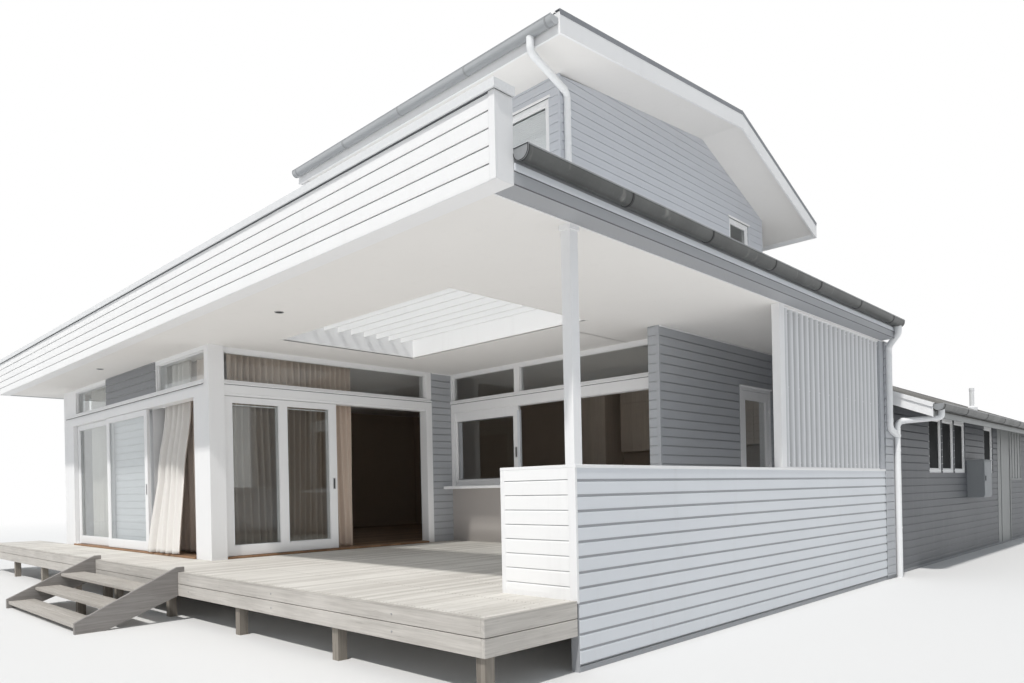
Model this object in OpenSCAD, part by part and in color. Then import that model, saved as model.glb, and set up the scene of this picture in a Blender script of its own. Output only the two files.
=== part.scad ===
// Weatherboard beach house: deck and steps, corner verandah, glazed living room,
// kitchen with a servery, low-pitched upper storey and an old gabled wing behind.
// Millimetres. The ground is z = 0. X runs right along the front, Y runs back from it.
// The origin is the foot of the deck's front right corner stump.

/* [Deck and steps] */
// Height of the deck and of the main floor above the ground
deck_h = 560; // [480:10:700]
// Length of deck past the living room's left face
deck_past = 1950; // [1400:50:2500]
// Thickness of the deck's boards
deck_board_t = 32; // [22:1:45]
// Depth of the deck's edge, two boards
deck_edge_h = 272; // [200:4:300]
// Thickness of an edge board
deck_edge_t = 35; // [25:1:45]
// Size of a square stump
stump_w = 90; // [75:5:120]
// Clear width between the step stringers
step_w = 2870; // [1200:10:3000]
// Distance from the deck's right edge to the steps
step_right = 5165; // [4000:5:6000]
// Number of treads
step_count = 3; // [2:1:4]
// Depth of a tread, front to back
tread_d = 300; // [240:5:320]
// Gap between treads in plan
tread_gap = 10; // [0:1:30]
// Thickness of a tread
tread_t = 42; // [32:1:50]
// Thickness of a stringer
stringer_t = 45; // [32:1:60]

/* [Verandah] */
// Height of the verandah ceiling above the deck
ceiling_h = 2930; // [2600:10:3200]
// Depth of the deck in front of the living room
porch_d = 900; // [800:10:1200]
// Distance from the deck's front edge to the half wall
half_wall_start = 1000; // [900:10:1300]
// Length of the half wall's return along the front
half_wall_return = 820; // [600:10:1000]
// Height of the half wall above the deck
half_wall_h = 1060; // [900:10:1200]
// Thickness of the half wall
half_wall_t = 95; // [80:5:120]
// Thickness of the half wall's cap
cap_t = 30; // [20:1:45]
// Overhang of the half wall's cap on each side
cap_over = 8; // [5:1:30]
// Size of the square verandah post
post_w = 94; // [80:1:120]
// Distance from the deck's front edge to the screen's first trim
screen_start = 4530; // [4200:10:4900]
// Width of the screen's first trim
screen_trim_a = 340; // [200:10:400]
// Number of waves of the screen's sheet
screen_waves = 21; // [16:1:24]
// Pitch of the screen's waves
screen_pitch = 142.5; // [130:0.5:145]
// Depth of the screen's waves
screen_wave_d = 22; // [12:1:32]
// Thickness of the screen's sheet
screen_sheet_t = 4; // [3:0.5:8]
// Width of the screen's last trim
screen_trim_b = 300; // [150:10:320]
// Distance from the front edge to the wall that ends the side passage
passage_end = 7920; // [7880:10:8000]
// Length of the right side from the front edge
side_len = 8500; // [8400:10:8700]
// Wall thickness beside the passage's end
end_wall_t = 120; // [90:5:130]

/* [Main rooms] */
// Thickness of the outer walls
wall_t = 150; // [120:5:180]
// Thickness of the main floor
floor_t = 180; // [120:10:220]
// Distance from the right edge to the living room's right face
living_side = 6250; // [6000:10:6500]
// Distance from the right edge to the living room's left face
living_left = 12740; // [12300:10:12900]
// Distance from the front edge to the kitchen wall
kitchen_front = 5270; // [5200:10:5600]
// Distance from the right edge to the grey passage wall
passage_w = 1570; // [1400:10:1700]
// Distance from the front edge to the grey wall's end
grey_start = 4640; // [4500:10:4900]
// Distance from the front edge to the rear wall's outer face
house_d = 9580; // [9300:10:9900]
// Thickness of the ceiling
ceiling_t = 20; // [12:1:40]

/* [Sliding doors] */
// Height of the door openings above the floor
door_h = 2260; // [2050:10:2300]
// Height of the sill under the doors
sill_h = 30; // [20:1:40]
// Height of the head between the doors and the clerestory
head_h = 210; // [200:5:350]
// Rail left above a clerestory
clere_rail = 60; // [40:5:70]
// Depth of a door frame, front to back
frame_d = 160; // [150:5:200]
// Thickness of a sliding leaf
leaf_t = 42; // [36:1:45]
// Width of a leaf's stiles
stile_w = 120; // [80:5:130]
// Height of a leaf's bottom rail
leaf_bottom = 130; // [100:5:180]
// Height of a leaf's top rail
leaf_top = 75; // [70:5:130]
// Overlap of a front leaf past its bay
leaf_lap = 40; // [20:5:60]
// Width of one front bay
front_bay_w = 1820; // [1750:10:1950]
// Width of the corner post along the front
corner_w = 490; // [420:10:560]
// Depth of the corner post along the side
corner_d = 220; // [180:10:260]
// Width of the narrow post above the door head
corner_top_w = 130; // [120:5:180]
// Width of the side opening between its posts
side_open_w = 3580; // [3400:10:3600]
// Width of the side opening's far post
side_post_w = 100; // [80:5:140]
// Height of the ledge under a clerestory
ledge_h = 55; // [40:5:70]
// How far the ledge stands out
ledge_out = 18; // [12:1:30]
// Clearance of a sliding leaf from its frame
slide_gap = 6; // [5:1:10]
// Clearance of a roller above its track
roller_gap = 0.3; // [0.2:0.1:0.5]

/* [Servery and cupboards] */
// Height of the servery sill above the floor
servery_sill = 950; // [850:10:1000]
// Height of the servery window's head above the floor
servery_head = 2240; // [2200:10:2300]
// Width of the servery's closed sash
sash_w = 1530; // [1200:10:1600]
// Depth of the servery shelf
shelf_d = 300; // [200:10:350]
// Thickness of the servery shelf below the sill
shelf_t = 38; // [30:1:50]
// How far the shelf laps over the frame's sill
shelf_lap = 6; // [4:1:10]
// Distance from the left corner to the shelf's end
shelf_in = 120; // [100:10:250]
// Height of the band between the servery and its clerestory
servery_band = 220; // [150:10:240]
// Depth of the low cupboards
bench_d = 600; // [550:10:650]
// Height of the low cupboards
bench_h = 900; // [850:10:950]
// Bottom of the hanging cupboards above the floor
overhead_h = 1600; // [1450:10:1700]
// Depth of the hanging cupboards
overhead_d = 400; // [300:10:450]

/* [Hinged door] */
// Distance from the front edge to the hinged door's opening
hinged_start = 6770; // [6600:10:6850]
// Width of the hinged door's opening
hinged_w = 1010; // [950:5:1020]
// Height of the hinged door's opening
hinged_h = 2340; // [2200:10:2400]
// Width of the hinged door's jambs
jamb_w = 50; // [40:1:60]
// Thickness of the hinged leaf
hinged_t = 40; // [35:1:44]
// Distance the frame stands out from the wall
frame_proud = 20; // [10:1:30]
// Clearance round the hinged leaf
hinge_gap = 6; // [5:1:8]
// Radius of the hinge barrel
barrel_r = 8; // [7:0.5:10]
// Radius of the hinge pin
pin_r = 4; // [3:0.5:5]
// Running clearance of the hinge pin
pin_gap = 0.08; // [0.05:0.01:0.1]
// Length of one hinge
hinge_l = 100; // [75:5:120]

/* [Verandah roof] */
// Height of the front fascia's boarded face
fascia_h = 590; // [500:10:700]
// Depth of the front fascia box, front to back
fascia_d = 175; // [120:5:220]
// Height of the fascia's metal cap
fascia_cap_h = 60; // [40:5:80]
// Overhang of the fascia's cap
fascia_cap_over = 14; // [8:1:25]
// Overhang of the eave past the right edge
eave_w = 200; // [150:10:260]
// Height of the side eave
eave_h = 170; // [140:5:200]
// Distance from the front edge to the end of the side eave
eave_len = 8050; // [7950:10:8100]
// Overhang of the roof past the living room's left face
left_over = 850; // [700:10:1000]
// Fall of the verandah roof, degrees
roof_fall = 1.5; // [1.2:0.1:1.5]
// Thickness of the verandah roof
roof_t = 40; // [30:1:50]
// Gap left where two faces meet on a slope or at a pipe
seat = 0.3; // [0.2:0.1:0.5]
// Length of a downpipe's first drop under its gutter
outlet_drop = 160; // [120:10:220]
// Distance of the upper outlet from the gutter's right end
upper_outlet_in = 380; // [300:10:450]
// Drop from the upper eave to the bend on the gable wall
swan_drop = 260; // [200:10:320]
// Distance of the side outlet from the end of the eave
side_outlet_in = 120; // [90:10:200]
// Height of the side pipe's upper bend above the deck
side_bend_h = 2880; // [2840:5:2890]
// Height of the side pipe's offset above the deck
side_offset_h = 1680; // [1500:10:1700]
// Distance of the side pipe from the corner, above its offset
side_pipe_in = 250; // [200:5:300]
// Distance of the ground pipe past the corner
side_pipe_past = 70; // [60:5:120]
// First drop of the wing's outlet
wing_outlet_drop = 100; // [90:5:130]
// Distance of the wing's outlet from the end of its gutter
wing_outlet_in = 150; // [100:10:250]
// Radius of the gutters
gutter_r = 66; // [55:1:75]
// Thickness of the gutters
gutter_t = 4; // [3:0.5:5]
// Radius of a downpipe
pipe_r = 45; // [35:1:55]
// How far a downpipe's elbow stands out from the pipe
elbow_out = 3; // [2:0.5:6]

/* [Skylight] */
// Distance from the right edge to the skylight
sky_right = 2000; // [1800:10:2300]
// Distance from the front edge to the skylight
sky_front = 1520; // [1300:10:1700]
// Length of the skylight
sky_l = 3400; // [3000:10:3600]
// Width of the skylight
sky_w = 2210; // [1900:10:2280]
// Height of the skylight's well
sky_h = 430; // [400:5:500]
// Thickness of the well's lining
sky_t = 20; // [15:1:30]
// Number of slats across the well
slat_count = 9; // [6:1:11]
// Thickness of a slat
slat_t = 20; // [15:1:30]
// Depth of a slat
slat_h = 90; // [60:5:110]
// Height of the slats above the ceiling
slat_z = 215; // [150:5:230]

/* [Upper storey] */
// Distance from the right edge to the upper storey's gable wall
upper_right = 2500; // [2300:10:2700]
// Length of the upper storey along the front
upper_len = 4300; // [3900:10:4600]
// Distance from the front edge to the upper front wall
upper_front = 3900; // [3850:10:4000]
// Thickness of the upper floor
upper_floor_t = 200; // [150:10:250]
// Height of the front wall's top above the deck
upper_eave_h = 6220; // [6000:10:6400]
// Distance from the upper front wall to the ridge
ridge_back = 3590; // [3300:10:3800]
// Pitch of the front slope, degrees
front_pitch = 5; // [4:0.5:6]
// Pitch of the rear slope, degrees
rear_pitch = 21; // [18:0.5:23]
// Upright thickness of the upper roof
upper_roof_t = 170; // [140:5:200]
// Overhang of the upper roof at the front
upper_over_front = 800; // [600:10:900]
// Overhang of the upper roof at the rear
upper_over_rear = 700; // [500:10:800]
// Overhang of the upper roof at the gables
upper_over_side = 700; // [500:10:750]
// Thickness of the barge boards
barge_t = 28; // [20:1:35]
// Drop of the barge boards below the soffit
barge_drop = 75; // [50:5:100]

/* [Wing] */
// Distance from the front edge to the wing's far end
wing_end = 18900; // [18700:50:20000]
// Distance of the wing's wall from the right edge
wing_inset = 100; // [60:10:150]
// Width of the wing
wing_w = 6400; // [6000:50:6800]
// Height of the wing's eave above the ground
wing_eave_h = 2440; // [2400:10:2500]
// Pitch of the wing's roof, degrees
wing_pitch = 22.5; // [20:0.5:24]
// Overhang of the wing's roof
wing_over = 660; // [500:10:700]
// Upright thickness of the wing's roof
wing_roof_t = 120; // [90:5:150]
// Thickness of the wing's ground slab
slab_t = 100; // [80:10:150]
// Distance from the front edge to the meter box
meter_start = 13200; // [12900:10:13400]
// Height of the meter box
meter_h = 720; // [600:10:760]
// Width of the meter box
meter_w = 600; // [400:10:650]
// Depth of the meter box
meter_d = 300; // [200:10:320]

/* [Windows] */
// Height of a window sill above the floor of the main rooms
main_sill = 900; // [800:10:1000]
// Width of the rear window of the living room
rear_win_w = 1100; // [900:10:1150]
// Distance of the rear window from the left corner
rear_win_in = 460; // [400:10:520]
// Width of the living room's left window
left_win_w = 1800; // [1500:10:2000]
// Distance of the left window from the rear corner
left_win_in = 3000; // [2600:10:3200]
// Length of the left clerestory
left_clere_l = 3200; // [2800:10:3600]
// Distance of the left clerestory from the corner
left_clere_in = 400; // [300:10:500]
// Length of the glass in each front clerestory
front_clere_l = 1680; // [1500:10:1800]
// Distance from the left wall to the front clerestory
front_clere_in = 570; // [350:10:600]
// Height of the panel left above the upper front windows
upper_head = 250; // [180:10:300]
// Distance of the upper front windows from the corners
upper_win_in = 170; // [120:10:250]
// Height of the gable windows
gable_win_h = 600; // [450:10:700]
// Width of the gable windows
gable_win_w = 700; // [500:10:760]
// Distance of the gable windows from the rear face
gable_win_in = 530; // [450:10:620]
// Distance from the eave down to the gable windows' head
gable_win_drop = 740; // [680:10:800]
// Width of the upper rear window
upper_rear_w = 1500; // [1200:10:1800]
// Height of the upper rear window
upper_rear_h = 1100; // [900:10:1200]
// Distance from the eave down to the upper rear window's head
upper_rear_drop = 920; // [850:10:1000]
// Height of the wing's window sills above the main floor
casement_sill = 1020; // [950:10:1080]
// Gap between the three casements
casement_gap = 50; // [30:5:80]
// Distance from the front edge to the first casement
casement_start = 10710; // [10500:10:10900]
// Distance from the front edge to the far casement
far_casement = 14650; // [14400:10:14900]
// Distance of the end wall's windows from its middle
end_casement_off = 640; // [400:10:900]
// Width of window frame members
sash_frame = 60; // [50:5:75]
// Depth of window frames
win_frame_d = 80; // [60:5:100]
// Thickness of the glass
glass_t = 8; // [6:1:12]
// Width of an upper front window
upper_win_w = 1200; // [1000:10:1300]
// Height of the upper front windows
upper_win_h = 1350; // [1000:10:1400]
// Width of a wing casement
casement_w = 760; // [600:10:780]
// Height of the wing's casements
casement_h = 990; // [900:10:1050]

/* [Curtains] */
// Thickness of a gathered curtain
curtain_t = 110; // [80:5:140]
// Width of the curtain in the front doorway
doorway_curtain_w = 900; // [700:10:1100]

/* [Hidden] */

white = [0.93, 0.93, 0.92];
grey_board = [0.62, 0.65, 0.68];
pale_board = [0.78, 0.80, 0.83];
timber = [0.55, 0.52, 0.49];
metal = [0.38, 0.39, 0.40];
linen = [0.80, 0.74, 0.66];
pane = [0.35, 0.42, 0.45, 0.4];

// Plan frame: distances are measured left from the right edge and back from the front edge
corner_in = stump_w / 2 + deck_edge_t;
function px(d) = corner_in - d;
function py(d) = d - corner_in;
// Height above the deck
function up(h) = deck_h + h;

ceiling_z = up(ceiling_h);
fascia_top = ceiling_z + fascia_h;
roof_right = px(-eave_w);
roof_left = px(living_left + left_over);
roof_low = ceiling_z + eave_h;
function roof_z(x) = roof_low + (roof_right - x) * tan(roof_fall);

living_x = px(living_side);
left_x = px(living_left);
grey_x = px(passage_w);
front_y = py(porch_d);
kitchen_y = py(kitchen_front);
rear_y = py(house_d);

// A block from three pairs of limits
module block(x, y, z) {
  translate([x[0], y[0], z[0]]) cube([x[1] - x[0], y[1] - y[0], z[1] - z[0]]);
}

// An outline in Y and Z, drawn out along X
module along_x(x) {
  translate([x[0], 0, 0]) rotate([90, 0, 90]) linear_extrude(x[1] - x[0]) children();
}

// An outline in X and Z, drawn out along Y
module along_y(y) {
  translate([0, y[1], 0]) rotate([90, 0, 0]) linear_extrude(y[1] - y[0]) children();
}

// Deck

deck_left = px(living_left + deck_past);
side_post_y = py(half_wall_start);
screen_y0 = py(screen_start);
screen_y1 = screen_y0 + screen_trim_a;
screen_y2 = screen_y1 + screen_waves * screen_pitch;
screen_y3 = screen_y2 + screen_trim_b;

module deck() color(timber) {
  block([deck_left, px(0)], [py(0), front_y], [up(-deck_board_t), up(0)]);
  block([living_x, px(0)], [front_y - 1, side_post_y], [up(-deck_board_t), up(0)]);
  block([living_x, px(half_wall_t)], [side_post_y - 1, kitchen_y], [up(-deck_board_t), up(0)]);
  block([grey_x, px(half_wall_t)], [kitchen_y - 1, py(passage_end)], [up(-deck_board_t), up(0)]);
  block([deck_left, px(0)], [py(0), py(deck_edge_t)], [up(-deck_edge_h), up(0)]);
  block([px(deck_edge_t), px(0)], [py(0), side_post_y], [up(-deck_edge_h), up(0)]);
  block([deck_left, deck_left + deck_edge_t], [py(0), front_y], [up(-deck_edge_h), up(0)]);
}

bearer_h = 140;
bearer_top = up(-deck_board_t);
bearer_rows = [[corner_in, deck_left + deck_edge_t, px(deck_edge_t)],
               [2700, living_x, px(half_wall_t)],
               [4900, living_x, px(half_wall_t)],
               [7000, grey_x, px(half_wall_t)]];
module deck_bearers() color(timber)
  for (r = bearer_rows)
    block([r[1], r[2]], [py(r[0]) - stump_w / 2, py(r[0]) + stump_w / 2],
          [bearer_top - bearer_h, bearer_top]);

// Stumps in a row under a length of framing, no more than the spacing apart
stump_spacing = 1900;
module stump_row(x0, x1, y, top) {
  n = max(1, ceil((x1 - x0 - stump_w) / stump_spacing));
  step = (x1 - x0 - stump_w) / n;
  for (i = [0:n])
    block([x0 + i * step, x0 + i * step + stump_w], [y - stump_w / 2, y + stump_w / 2], [0, top]);
}
module stumps() color(timber) {
  mid = (step_x0 + step_x1) / 2;
  for (i = [0:step_count - 1])
    block([mid - stump_w / 2, mid + stump_w / 2],
          [tread_edge(i) - tread_d / 2 - stump_w / 2, tread_edge(i) - tread_d / 2 + stump_w / 2],
          [0, tread_top(i) - tread_t]);
  for (r = bearer_rows) stump_row(r[1], r[2], py(r[0]), bearer_top - bearer_h);
  for (y = [front_y + 100, kitchen_y, inner_rear - 1500])
    stump_row(left_x + wall_t, living_x, y, up(-floor_t));
  for (y = [kitchen_y + 200, inner_rear - 1500])
    stump_row(living_x + 1000, grey_x - wall_t, y, up(-floor_t));
}

// Steps

step_x1 = px(step_right);
step_x0 = step_x1 - step_w;
rise = deck_h / (step_count + 0.6);
tread_pitch = tread_d + tread_gap;
tread_back = 140;
stringer_front = py(0) - tread_back - step_count * tread_pitch - tread_gap;
stringer_lift = 60;
stringer_toe = 120;
module stringer(x) {
  along_x([x, x + stringer_t])
    polygon([[py(0), up(stringer_lift)], [stringer_front, stringer_toe], [stringer_front, 0],
             [stringer_front + tread_d, 0], [py(0), up(-deck_edge_h)]]);
}
module step_stringers() color(timber) {
  stringer(step_x0 - stringer_t);
  stringer(step_x1);
}
// Rear edge and top of a tread, counted down from the deck
function tread_edge(i) = py(0) - tread_back - i * tread_pitch;
function tread_top(i) = deck_h - (i + 1) * rise;
module step_treads() color(timber)
  for (i = [0:step_count - 1])
    block([step_x0, step_x1], [tread_edge(i) - tread_d, tread_edge(i)],
          [tread_top(i) - tread_t, tread_top(i)]);

// Verandah edge

cap_z = up(half_wall_h);
module half_wall() color(pale_board) {
  block([px(half_wall_t), px(0)], [side_post_y, screen_y3], [0, cap_z - cap_t]);
  block([px(half_wall_return), px(half_wall_t) + 1], [side_post_y, side_post_y + half_wall_t],
        [up(0), cap_z - cap_t]);
  block([px(half_wall_t) - cap_over, px(0) + cap_over], [side_post_y - cap_over, py(passage_end)],
        [cap_z - cap_t - 1, cap_z]);
  block([px(half_wall_t), px(0) + cap_over], [side_post_y, screen_y3], [cap_z - cap_t - 1, cap_z]);
  block([px(half_wall_return) - cap_over, px(half_wall_t)],
        [side_post_y - cap_over, side_post_y + half_wall_t + cap_over],
        [cap_z - cap_t - 1, cap_z]);
}

post_cap = 10;
post_cap_h = 45;
module verandah_post() color(white) {
  block([px(post_w), px(0)], [side_post_y, side_post_y + post_w], [cap_z, ceiling_z]);
  block([px(post_w) - post_cap, px(0) + post_cap],
        [side_post_y - post_cap, side_post_y + post_w + post_cap], [ceiling_z - post_cap_h, ceiling_z]);
}

wave_steps = 8;
function wave(y) = screen_wave_d / 2 * sin(360 * (y - screen_y1) / screen_pitch);
module corrugated_screen() color(white) {
  n = screen_waves * wave_steps;
  mid = px(half_wall_t / 2);
  ys = [for (i = [0:n]) screen_y1 + (screen_y2 - screen_y1) * i / n];
  translate([0, 0, cap_z]) linear_extrude(ceiling_z - cap_z)
    polygon(concat([for (y = ys) [mid + wave(y) + screen_sheet_t / 2, y]],
                   [for (i = [n:-1:0]) [mid + wave(ys[i]) - screen_sheet_t / 2, ys[i]]]));
  block([px(half_wall_t), px(0)], [screen_y0, screen_y1 + 1], [cap_z, ceiling_z]);
  block([px(half_wall_t), px(0)], [screen_y2 - 1, screen_y3], [cap_z, ceiling_z]);
}

end_y = py(passage_end);
side_y = py(side_len);
module passage_end_wall() color(grey_board) {
  block([grey_x, px(half_wall_t)], [end_y, end_y + end_wall_t], [0, ceiling_z]);
  block([px(wall_t), px(0)], [screen_y3, side_y], [0, ceiling_z]);
  block([px(wall_t), px(half_wall_t)], [end_y, screen_y3 + 1], [0, ceiling_z]);
  block([grey_x, px(0)], [side_y - end_wall_t, side_y], [0, ceiling_z]);
}

// Main floor and plain walls

inner_rear = rear_y - wall_t;
module ground_floors() color(timber) {
  block([left_x + wall_t, living_x], [front_y, inner_rear], [up(-floor_t), up(0)]);
  block([living_x - 1, grey_x - wall_t], [kitchen_y, inner_rear], [up(-floor_t), up(0)]);
  block([wing_x0 + wall_t, wing_x1 - wall_t], [rear_y, wing_y1 - wall_t], [0, slab_t]);
}

clere_z = up(door_h + head_h);
clere_top = ceiling_z - clere_rail;
ledge_z = [clere_z - ledge_h, clere_z];
left_post_w = living_left - living_side - corner_w - 3 * front_bay_w;
bay_x0 = left_x + left_post_w;
bay_x3 = living_x - corner_w;
left_clere_y = [front_y + left_clere_in, front_y + left_clere_in + left_clere_l];
left_win_y = [rear_y - left_win_in - left_win_w, rear_y - left_win_in];
main_win_z = [up(main_sill), up(door_h)];
module left_wall() color(grey_board) difference() {
  block([left_x, left_x + wall_t], [front_y, rear_y], [0, ceiling_z]);
  block([left_x - 1, left_x + wall_t + 1], left_clere_y, [clere_z, clere_top]);
  block([left_x - 1, left_x + wall_t + 1], left_win_y, main_win_z);
}

module living_corner_post() color(white) {
  block([bay_x3, living_x], [front_y, front_y + corner_d], [up(0), clere_z]);
  block([living_x - corner_top_w, living_x], [front_y, front_y + corner_d],
        [clere_z - 1, ceiling_z]);
}

// Front of the living room: glazed bay, boarded bay and open bay

track_out = front_y + 12;
track_in = track_out + leaf_t + 18;
board_face = track_in + leaf_t + 14;
module front_bay_wall() color(grey_board)
  block([bay_x0 + front_bay_w, bay_x3 - front_bay_w], [board_face, front_y + frame_d + 60],
        [up(sill_h), up(door_h)]);

clere_a = [left_x + wall_t + front_clere_in, left_x + wall_t + front_clere_in + front_clere_l];
clere_b = [living_x - corner_top_w - front_clere_l, living_x - corner_top_w];
module front_door_frame() color(white) {
  difference() {
    union() {
      block([left_x + wall_t, bay_x0], [front_y, front_y + frame_d], [up(0), clere_z]);
      block([bay_x0 - 1, bay_x3], [front_y, front_y + frame_d], [up(door_h), clere_z + 1]);
      block([left_x + wall_t, living_x - corner_top_w], [front_y, front_y + frame_d],
            [clere_z, ceiling_z]);
      block([bay_x0 - 1, bay_x3], [front_y, front_y + frame_d], [up(0), up(sill_h)]);
      block([left_x + wall_t, bay_x3], [front_y - ledge_out, front_y + 1], ledge_z);
      block([bay_x3 - 1, living_x - corner_top_w], [front_y - ledge_out, front_y], ledge_z);
    }
    for (c = [clere_a, clere_b])
      block(c, [front_y - 1, front_y + frame_d + 1], [clere_z, clere_top]);
  }
}

leaf_z0 = up(sill_h) + slide_gap;
front_leaf_w = front_bay_w + leaf_lap;
side_leaf_w = side_open_w / 2 + 5;
leaf_z1 = up(door_h) - slide_gap;
// A glazed leaf in the plane X, Z: width w, thickness leaf_t, and its middle stile if it has one
module leaf_outline(w, mid) difference() {
  square([w, leaf_z1 - leaf_z0]);
  n = mid ? 2 : 1;
  lite = (w - (n + 1) * stile_w) / n;
  for (i = [0:n - 1])
    translate([stile_w + i * (lite + stile_w), leaf_bottom])
      square([lite, leaf_z1 - leaf_z0 - leaf_bottom - leaf_top]);
}
module leaf_glass(w, mid) {
  n = mid ? 2 : 1;
  lite = (w - (n + 1) * stile_w) / n;
  for (i = [0:n - 1])
    translate([stile_w + i * (lite + stile_w), (leaf_t - glass_t) / 2, leaf_bottom])
      cube([lite, glass_t, leaf_z1 - leaf_z0 - leaf_bottom - leaf_top]);
}
roller_r = 18;
module leaf(w, mid) {
  translate([0, leaf_t, 0]) rotate([90, 0, 0]) linear_extrude(leaf_t) leaf_outline(w, mid);
  for (x = [150, w - 150])
    translate([x, leaf_t / 2 + 5, roller_r - slide_gap + roller_gap])
      rotate([90, 0, 0]) cylinder(r = roller_r, h = 10, $fn = 32);
}
front_left_x = bay_x0 + slide_gap;
front_right_x = bay_x3 - 2 * front_bay_w;
module front_left_leaf() color(white)
  translate([front_left_x, track_in, leaf_z0]) leaf(front_leaf_w, false);
module front_left_glass() color(pane)
  translate([front_left_x, track_in, leaf_z0]) leaf_glass(front_leaf_w, false);
module front_right_leaf() color(white)
  translate([front_right_x, track_out, leaf_z0]) leaf(front_leaf_w, false);
module front_right_glass() color(pane)
  translate([front_right_x, track_out, leaf_z0]) leaf_glass(front_leaf_w, false);

// Right side of the living room: fixed panel, sliding leaf and clerestory

side_face = living_x - 50;
side_y0 = front_y + corner_d;
side_y1 = side_y0 + side_open_w;
side_track = side_face - 10 - leaf_t;
side_fixed = side_track - 18 - leaf_t;
side_leaf_y = side_y0 + slide_gap;
module side_plane(x, y) translate([x + leaf_t, y, leaf_z0]) rotate([0, 0, 90]) children();
module side_door_frame() color(white) {
  post_end = side_y1 + side_post_w;
  difference() {
    union() {
      block([side_face - frame_d, side_face], [side_y0, post_end], [up(0), ceiling_z]);
      block([side_face - 1, side_face + ledge_out], [side_y0, post_end], ledge_z);
    }
    block([side_face - frame_d - 1, side_face + 1], [side_y0 - 1, side_y1], [up(sill_h), up(door_h)]);
    block([side_face - frame_d - 1, side_face + 1], [side_y0 - 1, side_y1], [clere_z, clere_top]);
  }
  translate([0, 0, -slide_gap]) side_plane(side_fixed, side_y0)
    translate([0, leaf_t, 0]) rotate([90, 0, 0]) linear_extrude(leaf_t)
      scale([1, (up(door_h) - up(sill_h)) / (leaf_z1 - leaf_z0)]) leaf_outline(side_leaf_w, true);
}
module side_slide_leaf() color(white) side_plane(side_track, side_leaf_y) leaf(side_leaf_w, true);
module side_slide_glass() color(pane) side_plane(side_track, side_leaf_y) leaf_glass(side_leaf_w, true);

module living_end_wall() color(grey_board)
  block([side_face - wall_t, side_face], [side_y1 + side_post_w, kitchen_y], [up(0), ceiling_z]);

// Kitchen wall with the servery

kitchen_x0 = side_face;
kitchen_x1 = grey_x - wall_t;
servery_z0 = up(servery_sill);
servery_z1 = up(servery_head);
kit_z = servery_z1 + servery_band;
module kitchen_dado() color(white)
  block([kitchen_x0 - wall_t, kitchen_x1], [kitchen_y, kitchen_y + wall_t], [up(0), servery_z0]);

servery_y = [kitchen_y, kitchen_y + 110];
sash_stile = 120;
clere_mull_x = kitchen_x0 + 100 + sash_w;
module kitchen_window_frames() color(white) {
  inner0 = kitchen_x0 + 100;
  inner1 = kitchen_x1 - 60;
  difference() {
    union() {
      block([kitchen_x0, kitchen_x1], servery_y, [servery_z0, ceiling_z]);
      block([kitchen_x0, kitchen_x1], [kitchen_y - ledge_out, kitchen_y + 1],
            [kit_z - ledge_h, kit_z]);
    }
    block([inner0, inner1], [servery_y[0] - 1, servery_y[1] + 1], [servery_z0 + 60, servery_z1]);
    block([inner0 - 40, clere_mull_x - 60], [servery_y[0] - 1, servery_y[1] + 1],
          [kit_z, clere_top]);
    block([clere_mull_x + 60, inner1], [servery_y[0] - 1, servery_y[1] + 1],
          [kit_z, clere_top]);
  }
  difference() {
    block([inner0 - 1, inner0 + sash_w], [servery_y[0] + 30, servery_y[0] + 75],
          [servery_z0 + 59, servery_z1 + 1]);
    block([inner0 + 50, inner0 + sash_w - sash_stile], [servery_y[0] + 29, servery_y[0] + 76],
          [servery_z0 + 120, servery_z1 - 150]);
  }
  shelf_x = [kitchen_x0 + shelf_in, kitchen_x1 - sill_h];
  block(shelf_x, [servery_y[0] - shelf_d, servery_y[0]], [servery_z0 - shelf_t, servery_z0 + shelf_lap]);
  block(shelf_x, [servery_y[0] - 1, servery_y[0] + 1], [servery_z0, servery_z0 + shelf_lap]);
}

module kitchen_cupboards() color(timber) {
  tall = [kitchen_x0 + 0, kitchen_x0 + 740];
  block(tall, [inner_rear - bench_d, inner_rear], [up(0), ceiling_z]);
  block([tall[1] - 1, kitchen_x1], [inner_rear - bench_d, inner_rear], [up(0), up(bench_h)]);
  block([tall[1] + 240, kitchen_x1], [inner_rear - overhead_d, inner_rear], [up(overhead_h), ceiling_z]);
}

mid_glass = (win_frame_d - glass_t) / 2;
module pane_x(x, y, z) block([x, x + glass_t], y, z);
module pane_y(y, x, z) block(x, [y, y + glass_t], z);
module ground_floor_glass() color(pane) {
  top = clere_top;
  for (c = [clere_a, clere_b]) pane_y(front_y + 60, c, [clere_z, top]);
  pane_x(side_face - 60, [side_y0, side_y1], [clere_z, top]);
  pane_x(left_x + 60, left_clere_y, [clere_z, top]);
  pane_x(left_x + 60, left_win_y, main_win_z);
  pane_y(servery_y[0] + 50, [kitchen_x0 + 60, clere_mull_x - 60], [kit_z, top]);
  pane_y(servery_y[0] + 50, [clere_mull_x + 60, kitchen_x1 - 60], [kit_z, top]);
  pane_y(servery_y[0] + 50, [kitchen_x0 + 150, kitchen_x0 + 100 + sash_w - sash_stile],
         [servery_z0 + 120, servery_z1 - 150]);
  lite = (side_leaf_w - 3 * stile_w) / 2;
  for (i = [0, 1])
    pane_x(side_fixed + 17, [side_y0 + stile_w + i * (lite + stile_w),
                             side_y0 + (i + 1) * (lite + stile_w)],
           [up(sill_h) + 140, up(door_h) - 110]);
}

// Grey passage wall and its hinged door

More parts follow.
